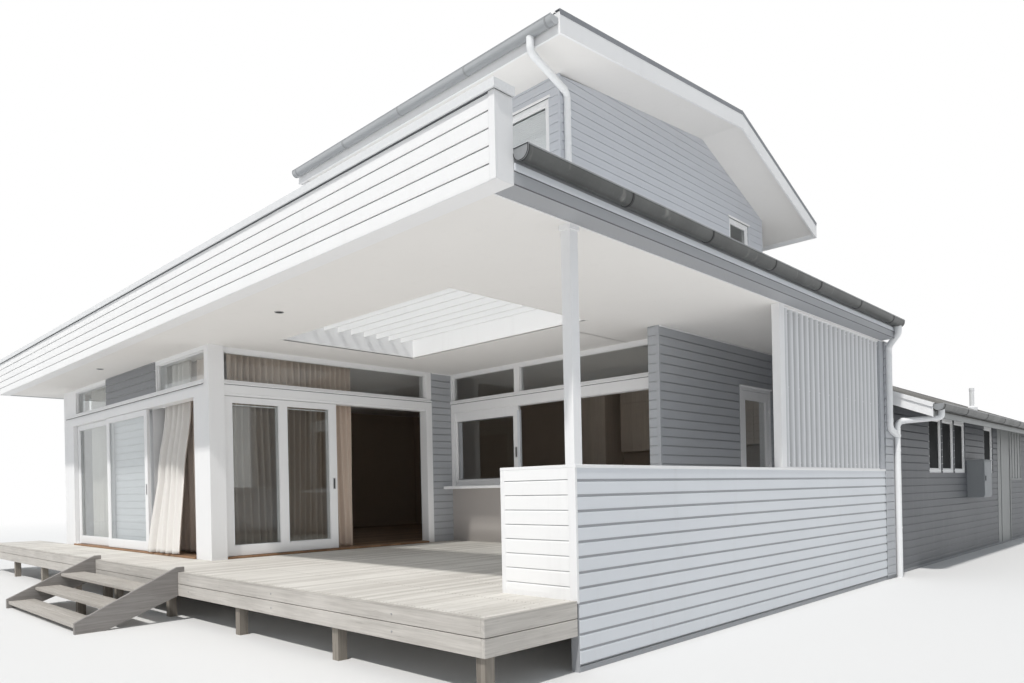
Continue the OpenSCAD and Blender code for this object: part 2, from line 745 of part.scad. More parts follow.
door_y0 = py(hinged_start);
door_y1 = door_y0 + hinged_w;
door_top = up(hinged_h);
grey_wall = [grey_x - wall_t, grey_x];
module grey_wall_front() color(grey_board)
  block(grey_wall, [py(grey_start), door_y0], [up(0), ceiling_z]);
module grey_wall_over_door() color(grey_board)
  block(grey_wall, [door_y0, door_y1], [door_top, ceiling_z]);
module grey_wall_back() color(grey_board)
  block(grey_wall, [door_y1, rear_y], [0, ceiling_z]);

hinge_face = grey_x + frame_proud;
leaf_out = hinge_face - 5;
hinge_y = door_y1 - jamb_w - hinge_gap / 2;
hinge_x = hinge_face + barrel_r + 1;
hinge_zs = [up(330), up(hinged_h / 2), up(hinged_h - 330)];
knuckle_l = hinge_l / 3;
flap_t = 3;
flap_l = 26;
module hinged_door_frame() color(white) {
  difference() {
    block([grey_x - wall_t, hinge_face], [door_y0, door_y1], [up(0), door_top]);
    block([grey_x - wall_t - 1, hinge_face + 1], [door_y0 + jamb_w, door_y1 - jamb_w],
          [up(sill_h), door_top - jamb_w]);
  }
  for (z = hinge_zs) {
    translate([hinge_x, hinge_y, z - hinge_l / 2]) cylinder(r = pin_r, h = hinge_l, $fn = 32);
    for (s = [-1, 1])
      translate([0, 0, z + s * knuckle_l - knuckle_l / 2 + (s > 0 ? 0.3 : 0)]) {
        translate([hinge_x, hinge_y, 0]) cylinder(r = barrel_r, h = knuckle_l - 0.3, $fn = 32);
        translate([hinge_face, hinge_y, 0]) cube([flap_t, flap_l, knuckle_l - 0.3]);
      }
  }
}
leaf_y0 = door_y0 + jamb_w + hinge_gap;
leaf_y1 = door_y1 - jamb_w - hinge_gap;
hinged_z0 = up(sill_h) + hinge_gap;
hinged_z1 = door_top - jamb_w - hinge_gap;
lite_y = [leaf_y0 + 110, leaf_y1 - 110];
lite_z = [hinged_z0 + 230, hinged_z1 - 120];
module hinged_door_leaf() color(white) difference() {
  union() {
    difference() {
      block([leaf_out - hinged_t, leaf_out], [leaf_y0, leaf_y1], [hinged_z0, hinged_z1]);
      block([leaf_out - hinged_t - 1, leaf_out + 1], lite_y, lite_z);
    }
    for (z = hinge_zs)
      translate([0, 0, z - knuckle_l / 2]) {
        translate([hinge_x, hinge_y, 0]) cylinder(r = barrel_r, h = knuckle_l, $fn = 32);
        translate([leaf_out - 1, hinge_y - flap_l, 0])
          cube([hinge_x - leaf_out + 1, flap_l - barrel_r + 2, knuckle_l]);
      }
  }
  for (z = hinge_zs)
    translate([hinge_x, hinge_y, z - hinge_l]) cylinder(r = pin_r + pin_gap, h = 2 * hinge_l, $fn = 32);
}
module hinged_door_glass() color(pane)
  pane_x(leaf_out - hinged_t / 2 - glass_t / 2, lite_y, lite_z);

rear_win_x = [left_x + rear_win_in, left_x + rear_win_in + rear_win_w];
module rear_wall() color(grey_board) difference() {
  block([left_x + wall_t, grey_x - wall_t], [inner_rear, rear_y], [0, ceiling_z]);
  block(rear_win_x, [inner_rear - 1, rear_y + 1], main_win_z);
}

// Ceiling, fascia, eaves and the low roof

well_x = [px(sky_right + sky_l), px(sky_right)];
well_y = [py(sky_front), py(sky_front + sky_w)];
fascia_back = py(fascia_d);
module ceiling() color(white) difference() {
  union() {
    block([roof_left + wall_t, px(0)], [fascia_back, side_y], [ceiling_z, ceiling_z + ceiling_t]);
    block([roof_left + wall_t, grey_x], [side_y - 1, rear_y], [ceiling_z, ceiling_z + ceiling_t]);
  }
  block(well_x, well_y, [ceiling_z - 1, ceiling_z + ceiling_t + 1]);
}

module front_fascia() color(white) {
  block([roof_left, roof_right], [py(0), fascia_back], [ceiling_z, fascia_top]);
  block([roof_left - fascia_cap_over, roof_right + fascia_cap_over],
        [py(0) - fascia_cap_over, fascia_back], [fascia_top, fascia_top + fascia_cap_h]);
}

eave_y1 = py(eave_len);
module side_eave() color(pale_board)
  block([px(0), roof_right], [fascia_back, eave_y1], [ceiling_z, roof_low]);

// A box under the sloping roof, its top inside the roof
module under_roof(x, y, z0) along_y(y)
  polygon([[x[0], z0], [x[1], z0], [x[1], roof_z(x[1]) + roof_t / 2],
           [x[0], roof_z(x[0]) + roof_t / 2]]);

upper_x1 = px(upper_right);
upper_x0 = upper_x1 - upper_len;
upper_y0 = py(upper_front);
module main_roof() color(metal) {
  high = fascia_top + roof_t;
  difference() {
    union() {
      along_y([fascia_back, rear_y])
        polygon([[roof_left, roof_z(roof_left)], [roof_right, roof_z(roof_right)],
                 [roof_right, roof_z(roof_right) + roof_t], [roof_left, roof_z(roof_left) + roof_t]]);
      under_roof([roof_left, roof_left + wall_t], [fascia_back, rear_y], ceiling_z);
      under_roof([roof_left + wall_t - 1, grey_x], [inner_rear, rear_y], ceiling_z + ceiling_t);
    }
    block([upper_x0, upper_x1], [upper_y0, rear_y + 1], [ceiling_z - 1, high]);
    block([well_x[0] - sky_t, well_x[1] + sky_t], [well_y[0] - sky_t, well_y[1] + sky_t],
          [ceiling_z - 1, high]);
    block([px(0), roof_right + 1], [eave_y1, rear_y + 1], [ceiling_z - 1, high]);
    block([grey_x, roof_right + 1], [side_y, rear_y + 1], [ceiling_z - 1, high]);
  }
}

module skylight_well() color(white) {
  difference() {
    block([well_x[0] - sky_t, well_x[1] + sky_t], [well_y[0] - sky_t, well_y[1] + sky_t],
          [ceiling_z + ceiling_t, ceiling_z + sky_h]);
    block(well_x, well_y, [ceiling_z, ceiling_z + sky_h + 1]);
  }
}
module skylight_slats() color(white) {
  pitch = sky_w / (slat_count + 1);
  for (i = [1:slat_count]) {
    y = well_y[0] + i * pitch;
    block(well_x, [y - slat_t / 2, y + slat_t / 2],
          [ceiling_z + slat_z, ceiling_z + slat_z + slat_h]);
  }
}

// Upper storey

upper_base = ceiling_z + ceiling_t;
upper_z0 = upper_base + upper_floor_t;
ridge_y = upper_y0 + ridge_back;
// Underside of the upper roof
function soffit_z(y) = y < ridge_y
  ? up(upper_eave_h) + (y - upper_y0) * tan(front_pitch)
  : up(upper_eave_h) + ridge_back * tan(front_pitch) - (y - ridge_y) * tan(rear_pitch);
function wall_top(y) = soffit_z(y) - seat;
module upper_floor() color(timber)
  block([upper_x0, upper_x1], [upper_y0, rear_y], [upper_base, upper_z0]);

upper_win_top = up(upper_eave_h) - upper_head;
upper_win_z = [upper_win_top - upper_win_h, upper_win_top];
upper_wins = [[upper_x1 - upper_win_in - upper_win_w, upper_x1 - upper_win_in],
              [upper_x0 + upper_win_in, upper_x0 + upper_win_in + upper_win_w]];
module upper_front_wall() color(grey_board) difference() {
  along_x([upper_x0, upper_x1])
    polygon([[upper_y0, upper_z0], [upper_y0 + wall_t, upper_z0],
             [upper_y0 + wall_t, wall_top(upper_y0 + wall_t)], [upper_y0, wall_top(upper_y0)]]);
  for (w = upper_wins) block(w, [upper_y0 - 1, upper_y0 + wall_t + 1], upper_win_z);
}

gable_win_y = [rear_y - gable_win_in - gable_win_w, rear_y - gable_win_in];
gable_win_top = up(upper_eave_h) - gable_win_drop;
gable_win_z = [gable_win_top - gable_win_h, gable_win_top];
module gable(x) {
  y0 = upper_y0 + wall_t;
  along_x(x) polygon([[y0, upper_z0], [inner_rear, upper_z0], [inner_rear, wall_top(inner_rear)],
                      [ridge_y, wall_top(ridge_y)], [y0, wall_top(y0)]]);
}
module upper_right_gable() color(grey_board) difference() {
  gable([upper_x1 - wall_t, upper_x1]);
  block([upper_x1 - wall_t - 1, upper_x1 + 1], gable_win_y, gable_win_z);
}
module upper_left_gable() color(grey_board) difference() {
  gable([upper_x0, upper_x0 + wall_t]);
  block([upper_x0 - 1, upper_x0 + wall_t + 1], gable_win_y, gable_win_z);
}
upper_rear_win = [(upper_x0 + upper_x1 - upper_rear_w) / 2, (upper_x0 + upper_x1 + upper_rear_w) / 2];
upper_rear_top = up(upper_eave_h) - upper_rear_drop;
upper_rear_z = [upper_rear_top - upper_rear_h, upper_rear_top];
module upper_rear_wall() color(grey_board) difference() {
  along_x([upper_x0, upper_x1])
    polygon([[inner_rear, upper_z0], [rear_y, upper_z0], [rear_y, wall_top(rear_y)],
             [inner_rear, wall_top(inner_rear)]]);
  block(upper_rear_win, [inner_rear - 1, rear_y + 1], upper_rear_z);
}

over_y0 = upper_y0 - upper_over_front;
over_y1 = rear_y + upper_over_rear;
over_x0 = upper_x0 - upper_over_side;
over_x1 = upper_x1 + upper_over_side;
module upper_roof() color(white) along_x([over_x0, over_x1])
  polygon([[over_y0, soffit_z(over_y0)], [ridge_y, soffit_z(ridge_y)], [over_y1, soffit_z(over_y1)],
           [over_y1, soffit_z(over_y1) + upper_roof_t], [ridge_y, soffit_z(ridge_y) + upper_roof_t],
           [over_y0, soffit_z(over_y0) + upper_roof_t]]);

module barge(x) along_x(x)
  polygon([[over_y0, soffit_z(over_y0) - barge_drop], [ridge_y, soffit_z(ridge_y) - barge_drop],
           [over_y1, soffit_z(over_y1) - barge_drop], [over_y1, soffit_z(over_y1) + upper_roof_t],
           [ridge_y, soffit_z(ridge_y) + upper_roof_t], [over_y0, soffit_z(over_y0) + upper_roof_t]]);
module upper_barge_boards() color(white) {
  barge([over_x1, over_x1 + barge_t]);
  barge([over_x0 - barge_t, over_x0]);
  block([over_x0 - barge_t, over_x1 + barge_t], [over_y0 - barge_t, over_y0],
        [soffit_z(over_y0) - barge_drop, soffit_z(over_y0) + upper_roof_t]);
  block([over_x0 - barge_t, over_x1 + barge_t], [over_y1, over_y1 + barge_t],
        [soffit_z(over_y1) - barge_drop, soffit_z(over_y1) + upper_roof_t]);
}

// Gutters and downpipes

module gutter_outline() difference() {
  union() {
    circle(r = gutter_r, $fn = 32);
    translate([-gutter_r, 0]) square([2 * gutter_r, 25]);
  }
  circle(r = gutter_r - gutter_t, $fn = 32);
  translate([-gutter_r + gutter_t, 0]) square([2 * (gutter_r - gutter_t), 80]);
  translate([-2 * gutter_r, 25]) square([4 * gutter_r, 2 * gutter_r]);
}
// A gutter along Y, its back at x, its bottom at z, closed by end plates
module gutter_y(x, y, z) translate([x + gutter_r, 0, z + gutter_r]) {
  along_y(y) gutter_outline();
  for (e = [y[0], y[1] - gutter_t])
    along_y([e, e + gutter_t]) intersection() {
      circle(r = gutter_r, $fn = 32);
      translate([-gutter_r, -gutter_r]) square([2 * gutter_r, gutter_r + 0.01]);
    }
}
module gutter_x(y, x, z) translate([0, 0, 0]) {
  translate([0, y - gutter_r, z + gutter_r]) {
    along_x(x) gutter_outline();
    for (e = [x[0], x[1] - gutter_t])
      along_x([e, e + gutter_t]) intersection() {
        circle(r = gutter_r, $fn = 32);
        translate([-gutter_r, -gutter_r]) square([2 * gutter_r, gutter_r + 0.01]);
      }
  }
}
side_gutter_z = ceiling_z + 150;
upper_gutter_z = soffit_z(over_y0) + 10;
wing_x1 = px(wing_inset);
wing_x0 = wing_x1 - wing_w;
wing_mid = (wing_x0 + wing_x1) / 2;
wing_y1 = py(wing_end);
wing_eave_x = wing_x1 + wing_over;
wing_gutter_z = wing_eave_h + 20;
module gutters() color(metal) {
  gutter_y(roof_right, [fascia_back, eave_y1], side_gutter_z);
  gutter_x(over_y0 - barge_t, [over_x0, over_x1], upper_gutter_z);
  gutter_y(wing_eave_x, [side_y, wing_y1 + wing_over / 2], wing_gutter_z);
}

// A round pipe through a list of points
module pipe(points) for (i = [0:len(points) - 2]) {
  a = points[i];
  b = points[i + 1];
  d = b - a;
  l = norm(d);
  translate(a) rotate([0, acos(d[2] / l), atan2(d[1], d[0])]) cylinder(r = pipe_r, h = l, $fn = 24);
  if (i > 0) translate(a) sphere(r = pipe_r + elbow_out, $fn = 24);
}
side_swan = 180;
side_offset_fall = 120;
wing_run_fall = 20;
module downpipes() color(white) {
  wall_off = pipe_r + elbow_out + seat;
  top_y = over_y0 - barge_t - gutter_r;
  wall_pipe = [upper_x1 + wall_off, upper_y0 + 100];
  pipe([[over_x1 - upper_outlet_in, top_y, upper_gutter_z - seat],
        [over_x1 - upper_outlet_in, top_y, upper_gutter_z - outlet_drop],
        [wall_pipe[0], wall_pipe[1], soffit_z(upper_y0) - swan_drop],
        [wall_pipe[0], wall_pipe[1], roof_z(upper_x1) + roof_t + seat]]);
  side_x = roof_right + gutter_r;
  pipe_x = px(0) + wall_off;
  ground_y = side_y + side_pipe_past;
  pipe([[side_x, eave_y1 - side_outlet_in, side_gutter_z - seat],
        [side_x, eave_y1 - side_outlet_in, up(side_bend_h)],
        [pipe_x, side_y - side_pipe_in, up(side_bend_h - side_swan)],
        [pipe_x, side_y - side_pipe_in, up(side_offset_h)],
        [pipe_x, ground_y, up(side_offset_h - side_offset_fall)]]);
  wing_drop_z = wing_gutter_z - wing_outlet_drop;
  pipe([[wing_eave_x + gutter_r, side_y + wing_outlet_in, wing_gutter_z - seat],
        [wing_eave_x + gutter_r, side_y + wing_outlet_in, wing_drop_z],
        [pipe_x, ground_y, wing_drop_z - wing_run_fall],
        [pipe_x, ground_y, 0]]);
}

// Wing

wing_zu = wing_eave_h;
function wing_z(x) = wing_zu + (wing_over + wing_w / 2 - abs(x - wing_mid)) * tan(wing_pitch);
casement_z = [up(casement_sill), up(casement_sill) + casement_h];
casement_ys = [for (i = [0:2]) py(casement_start) + i * (casement_w + casement_gap)];
far_casement_y = py(far_casement);
wing_casements = concat(casement_ys, [far_casement_y]);
function wing_top(x) = wing_z(x) - seat;
module wing_right_wall() color(grey_board) difference() {
  along_y([side_y, wing_y1])
    polygon([[wing_x1 - wall_t, 0], [wing_x1, 0], [wing_x1, wing_top(wing_x1)],
             [wing_x1 - wall_t, wing_top(wing_x1 - wall_t)]]);
  for (y = wing_casements)
    block([wing_x1 - wall_t - 1, wing_x1 + 1], [y, y + casement_w], casement_z);
}
module wing_left_wall() color(grey_board) difference() {
  along_y([rear_y, wing_y1])
    polygon([[wing_x0, 0], [wing_x0 + wall_t, 0], [wing_x0 + wall_t, wing_top(wing_x0 + wall_t)],
             [wing_x0, wing_top(wing_x0)]]);
  for (y = wing_casements)
    block([wing_x0 - 1, wing_x0 + wall_t + 1], [y, y + casement_w], casement_z);
}
end_casements = [wing_mid - end_casement_off - casement_w, wing_mid + end_casement_off];
module wing_end_wall() color(grey_board) difference() {
  x = [wing_x0 + wall_t, wing_x1 - wall_t];
  along_y([wing_y1 - wall_t, wing_y1])
    polygon([[x[0], 0], [x[1], 0], [x[1], wing_top(x[1])], [wing_mid, wing_top(wing_mid)],
             [x[0], wing_top(x[0])]]);
  for (c = end_casements)
    block([c, c + casement_w], [wing_y1 - wall_t - 1, wing_y1 + 1], casement_z);
}
module wing_roof() color(metal) {
  left = wing_x0 - wing_over;
  difference() {
    along_y([side_y, wing_y1 + wing_over / 2])
      polygon([[left, wing_z(left)], [wing_mid, wing_z(wing_mid)], [wing_eave_x, wing_z(wing_eave_x)],
               [wing_eave_x, wing_z(wing_eave_x) + wing_roof_t],
               [wing_mid, wing_z(wing_mid) + wing_roof_t], [left, wing_z(left) + wing_roof_t]]);
    block([left - 1, grey_x], [side_y - 1, rear_y], [0, up(5000)]);
  }
}
// A board over the end of the wing's roof, from y to y + barge_t
module wing_barge(xs, y) along_y([y, y + barge_t])
  polygon(concat([for (x = xs) [x, wing_z(x) - barge_drop]],
                 [for (i = [len(xs) - 1:-1:0]) [xs[i], wing_z(xs[i]) + wing_roof_t]]));
module wing_barge_boards() color(white) {
  wing_barge([px(0), wing_eave_x], side_y - barge_t);
  wing_barge([wing_x0 - wing_over, wing_mid, wing_eave_x], wing_y1 + wing_over / 2);
}
meter_y = py(meter_start);
module meter_box() color(pale_board)
  block([wing_x1, wing_x1 + meter_d], [meter_y, meter_y + meter_w], [up(540), up(540) + meter_h]);

// Windows of the upper storey and the wing

module ring(w, h) difference() {
  square([w, h]);
  translate([sash_frame, sash_frame]) square([w - 2 * sash_frame, h - 2 * sash_frame]);
}
module frame_in_y(x, y, z) translate([x[0], y + win_frame_d, z[0]])
  rotate([90, 0, 0]) linear_extrude(win_frame_d) ring(x[1] - x[0], z[1] - z[0]);
module frame_in_x(x, y, z) translate([x, y[0], z[0]])
  rotate([90, 0, 90]) linear_extrude(win_frame_d) ring(y[1] - y[0], z[1] - z[0]);
module inner_pane_y(x, y, z)
  pane_y(y + mid_glass, [x[0] + sash_frame, x[1] - sash_frame], [z[0] + sash_frame, z[1] - sash_frame]);
module inner_pane_x(x, y, z)
  pane_x(x + mid_glass, [y[0] + sash_frame, y[1] - sash_frame], [z[0] + sash_frame, z[1] - sash_frame]);

module each_window(frames) {
  for (w = upper_wins)
    if (frames) frame_in_y(w, upper_y0, upper_win_z);
    else inner_pane_y(w, upper_y0, upper_win_z);
  for (x = [upper_x1 - win_frame_d, upper_x0])
    if (frames) frame_in_x(x, gable_win_y, gable_win_z);
    else inner_pane_x(x, gable_win_y, gable_win_z);
  if (frames) frame_in_y(upper_rear_win, rear_y - win_frame_d, upper_rear_z);
  else inner_pane_y(upper_rear_win, rear_y - win_frame_d, upper_rear_z);
  for (y = wing_casements)
    for (x = [wing_x1 - win_frame_d, wing_x0])
      if (frames) frame_in_x(x, [y, y + casement_w], casement_z);
      else inner_pane_x(x, [y, y + casement_w], casement_z);
  for (x = end_casements)
    if (frames) frame_in_y([x, x + casement_w], wing_y1 - win_frame_d, casement_z);
    else inner_pane_y([x, x + casement_w], wing_y1 - win_frame_d, casement_z);
  if (frames) frame_in_y(rear_win_x, rear_y - win_frame_d, main_win_z);
  else inner_pane_y(rear_win_x, rear_y - win_frame_d, main_win_z);
}
module window_frames() color(white) each_window(true);
module upper_glass() color(pane) {
  each_window(false);
  block([well_x[0] - sky_t, well_x[1] + sky_t], [well_y[0] - sky_t, well_y[1] + sky_t],
        [ceiling_z + sky_h, ceiling_z + sky_h + glass_t]);
}

// Curtains, hung from the ceiling inside the glass

curtain_z = [up(20), ceiling_z];
module doorway_curtain() color(linen)
  block([bay_x3 - front_bay_w + 200, bay_x3 - front_bay_w + 200 + doorway_curtain_w],
        [front_y + frame_d + 60, front_y + frame_d + 60 + curtain_t], curtain_z);
module room_curtains() color(linen) {
  block([bay_x0 + 300, bay_x0 + front_bay_w - 60],
        [front_y + frame_d + 30, front_y + frame_d + 30 + curtain_t], curtain_z);
  block([side_face - frame_d - 30 - curtain_t, side_face - frame_d - 30],
        [side_y0 + 150, side_y0 + side_leaf_w + 180], curtain_z);
}

deck();
deck_bearers();
stumps();
step_stringers();
step_treads();
half_wall();
verandah_post();
corrugated_screen();
passage_end_wall();
ground_floors();
living_corner_post();
left_wall();
front_bay_wall();
front_door_frame();
front_left_leaf();
front_left_glass();
front_right_leaf();
front_right_glass();
side_door_frame();
side_slide_leaf();
side_slide_glass();
living_end_wall();
kitchen_dado();
kitchen_window_frames();
kitchen_cupboards();
ground_floor_glass();
grey_wall_front();
grey_wall_over_door();
grey_wall_back();
hinged_door_frame();
hinged_door_leaf();
hinged_door_glass();
rear_wall();
ceiling();
front_fascia();
side_eave();
main_roof();
skylight_well();
skylight_slats();
upper_floor();
upper_front_wall();
upper_right_gable();
upper_left_gable();
upper_rear_wall();
window_frames();
upper_glass();
upper_roof();
upper_barge_boards();
gutters();
downpipes();
wing_right_wall();
wing_left_wall();
wing_end_wall();
wing_roof();
wing_barge_boards();
meter_box();
doorway_curtain();
room_curtains();
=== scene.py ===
import math
import random

import bmesh
import bpy
from mathutils import Matrix, Vector


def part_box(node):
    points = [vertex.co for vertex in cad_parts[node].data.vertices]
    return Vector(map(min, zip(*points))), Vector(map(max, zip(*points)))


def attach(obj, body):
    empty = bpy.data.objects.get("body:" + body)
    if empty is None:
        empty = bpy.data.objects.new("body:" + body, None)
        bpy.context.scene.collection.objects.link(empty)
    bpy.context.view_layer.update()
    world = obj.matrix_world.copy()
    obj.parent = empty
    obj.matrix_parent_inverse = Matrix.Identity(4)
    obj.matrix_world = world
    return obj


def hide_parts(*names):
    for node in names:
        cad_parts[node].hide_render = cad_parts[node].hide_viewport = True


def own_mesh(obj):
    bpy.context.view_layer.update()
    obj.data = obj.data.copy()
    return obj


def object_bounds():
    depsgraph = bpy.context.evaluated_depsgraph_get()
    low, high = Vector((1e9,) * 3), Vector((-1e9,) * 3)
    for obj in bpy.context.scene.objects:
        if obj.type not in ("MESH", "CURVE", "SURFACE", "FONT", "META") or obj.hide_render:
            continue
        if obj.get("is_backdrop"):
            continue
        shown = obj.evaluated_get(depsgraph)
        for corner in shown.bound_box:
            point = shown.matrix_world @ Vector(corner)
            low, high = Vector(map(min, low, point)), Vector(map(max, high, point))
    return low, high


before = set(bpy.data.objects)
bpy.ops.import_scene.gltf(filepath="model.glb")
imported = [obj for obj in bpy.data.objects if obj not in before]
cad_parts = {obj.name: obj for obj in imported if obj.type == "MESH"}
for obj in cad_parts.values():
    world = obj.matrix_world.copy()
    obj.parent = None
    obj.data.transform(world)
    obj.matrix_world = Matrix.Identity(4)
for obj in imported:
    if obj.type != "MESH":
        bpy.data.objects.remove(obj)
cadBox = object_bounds()
print("frame loaded")


# sockets and trees

class Sock:
    # a socket that takes part in ordinary arithmetic
    def __init__(self, tree, socket):
        self.tree = tree
        self.socket = socket

    def maths(self, operation, *values):
        node = self.tree.nodes.new("ShaderNodeMath")
        node.operation = operation
        for slot, value in zip(node.inputs, values):
            plug(self.tree, slot, value)
        return Sock(self.tree, node.outputs[0])

    def clip(self, low, high):
        return self.atLeast(low).atMost(high)

    def ramp(self, low, high):
        return ((self - low) / (high - low)).clip(0.0, 1.0)


for name, kind in {"add": "ADD", "sub": "SUBTRACT", "mul": "MULTIPLY", "truediv": "DIVIDE"}.items():
    setattr(Sock, "__" + name + "__", lambda a, b, kind=kind: a.maths(kind, a, b))
    setattr(Sock, "__r" + name + "__", lambda a, b, kind=kind: a.maths(kind, b, a))
for name, kind in {"floor": "FLOOR", "ceil": "CEIL", "fract": "FRACT", "sine": "SINE", "root": "SQRT",
                   "atLeast": "MAXIMUM", "atMost": "MINIMUM", "under": "LESS_THAN",
                   "over": "GREATER_THAN"}.items():
    setattr(Sock, name, lambda *values, kind=kind: values[0].maths(kind, *values))


def plug(tree, slot, value):
    if isinstance(value, Sock):
        tree.links.new(value.socket, slot)
    elif value is not None:
        slot.default_value = value


class Tree:
    # adds nodes to a node tree: the values or links of their sockets, then their settings
    def __init__(self, tree):
        self.tree = tree

    def node(self, kind, inputs=None, output=0, **settings):
        node = self.tree.nodes.new(kind)
        for key, value in settings.items():
            if key == "stops":
                ramp = node.color_ramp
                while len(ramp.elements) < len(value):
                    ramp.elements.new(0.5)
                for element, (place, colour) in zip(ramp.elements, value):
                    element.position = place
                    element.color = (*colour, 1)
            else:
                setattr(node, key, value)
        for key, value in (inputs or {}).items():
            plug(self.tree, node.inputs[key], value)
        return Sock(self.tree, node.outputs[output])

    def split(self, vector):
        node = self.tree.nodes.new("ShaderNodeSeparateXYZ")
        plug(self.tree, node.inputs[0], vector)
        return [Sock(self.tree, out) for out in node.outputs]

    def coords(self):
        place = self.node("ShaderNodeTexCoord", output=3)
        return place, self.split(place)

    def vector(self, x, y, z):
        return self.node("ShaderNodeCombineXYZ", {0: x, 1: y, 2: z})

    def noise(self, place, scale, detail=3.0, rough=0.55):
        return self.node("ShaderNodeTexNoise", {"Vector": place, "Scale": scale, "Detail": detail,
                                                "Roughness": rough}, noise_dimensions="3D")

    def speckle(self, value):
        return self.node("ShaderNodeTexWhiteNoise", {"W": value}, noise_dimensions="1D")

    def mix(self, factor, first, second):
        node = self.tree.nodes.new("ShaderNodeMix")
        node.data_type = "RGBA"
        for index, value in ((0, factor), (6, first), (7, second)):
            if isinstance(value, (tuple, list)):
                value = (*value[:3], 1)
            plug(self.tree, node.inputs[index], value)
        return Sock(self.tree, node.outputs[2])

    def colours(self, factor, *stops):
        return self.node("ShaderNodeValToRGB", {"Fac": factor}, stops=stops)

    def join(self, parts):
        both = self.tree.nodes.new("GeometryNodeJoinGeometry")
        for part in parts:
            self.tree.links.new(part.socket, both.inputs[0])
        return Sock(self.tree, both.outputs[0])

    def bump(self, height, depth, strength=1.0):
        return self.node("ShaderNodeBump", {"Strength": strength, "Distance": depth, "Height": height})


def shade(tone, amount):
    return tuple(min(1.0, amount * value) for value in tone)


def newMaterial(name):
    mat = bpy.data.materials.new(name)
    mat.use_nodes = True
    return mat, Tree(mat.node_tree), mat.node_tree.nodes["Principled BSDF"]


def material(name, paint, **fixed):
    # paint(tree) gives the sockets that change over the surface; fixed gives plain numbers
    mat, t, surface = newMaterial(name)
    for key, value in fixed.items():
        surface.inputs[key.replace("_", " ")].default_value = value
    for key, value in paint(t).items():
        plug(t.tree, surface.inputs[key], value)
    return mat


def showMix(t, output, factor, first, second):
    # the tree's output shows a mix of two shaders
    mixed = t.node("ShaderNodeMixShader", {0: factor, 1: first, 2: second})
    t.tree.links.new(mixed.socket, output.inputs["Surface"])


# ways of finishing a surface

def paintFinish(tone, pitch=0.0, dirt=0.10, rough=0.42, base=0.0, sill=None):
    # painted timber: faint grain, painted shade at the lap between boards, slow change of tone, a timber
    # sill if it has one
    def paint(t):
        place, (x, y, z) = t.coords()
        cloud = t.noise(place, 0.7, 4.0)
        fine = t.noise(t.vector(x * 3.0, y * 3.0, z * 90.0), 1.0, 3.0)
        tint = t.mix(cloud.ramp(0.35, 0.7) * dirt, tone, shade(tone, 0.80))
        if pitch:
            course = (z - base) / pitch
            board = t.speckle(course.floor())
            tint = t.mix(board * 0.07, tint, shade(tone, 0.84))
            # painted shade: darker in a band at each lap between courses
            tint = t.mix(course.fract().ramp(0.22, 0.0) * 0.16, tint, shade(tone, 0.72))
        streaks = t.noise(t.vector(x * 7.0, y * 7.0, z * 0.6), 1.0, 4.0)
        tint = t.mix(streaks.ramp(0.58, 0.80) * dirt * 0.7, tint, (0.40, 0.38, 0.35))
        spots = t.noise(place, 45.0, 2.0).ramp(0.64, 0.80)
        tint = t.mix(spots * 0.05, tint, (0.30, 0.28, 0.25))
        if sill:
            # sill is (height, axis, from, to): timber below the height, between two places along the axis
            height, axis, start, end = sill
            low = z.under(height) * (x, y)[axis].over(start) * (x, y)[axis].under(end)
            tint = t.mix(low, tint, t.colours(fine, (0.3, (0.10, 0.055, 0.03)), (0.7, (0.30, 0.18, 0.10))))
        return {"Base Color": tint,
                "Roughness": rough + 0.12 * cloud + 0.06 * fine,
                "Normal": t.bump(fine * 0.6 + t.noise(place, 260.0, 2.0) * 0.4, 0.0006, 0.35)}
    return paint


def roomFinish(outside, inside, room):
    # paint on the weather side and a dark lining inside whose tone is painted shade of the dim rooms; room
    # is a list of plan boxes (x0, x1, y0, y1)
    def paint(t):
        place, (x, y, z) = t.coords()
        cloud = t.noise(place, 0.7, 4.0)
        fine = t.noise(place, 120.0, 3.0)
        within = 0.0
        for x0, x1, y0, y1 in room:
            within = x.over(x0) * x.under(x1) * y.over(y0) * y.under(y1) + within
        tint = t.mix(within.atMost(1.0), outside, inside)
        tint = t.mix(cloud.ramp(0.35, 0.7) * 0.16, tint, shade(inside, 0.6))
        return {"Base Color": tint,
                "Roughness": 0.55 + 0.15 * cloud,
                "Normal": t.bump(fine, 0.0004, 0.3)}
    return paint


def meshFinish(t):
    # woven fly mesh: dark threads with paler dust on them
    place, (x, y, z) = t.coords()
    threads = (z * 2200.0).sine() * ((x + y) * 2200.0).sine()
    dust = t.noise(place, 3.0, 4.0)
    tint = t.mix(dust.ramp(0.45, 0.8) * 0.5, (0.018, 0.019, 0.020), (0.055, 0.057, 0.060))
    return {"Base Color": tint,
            "Roughness": 0.75 + 0.1 * dust,
            "Normal": t.bump(threads, 0.0005, 0.5)}


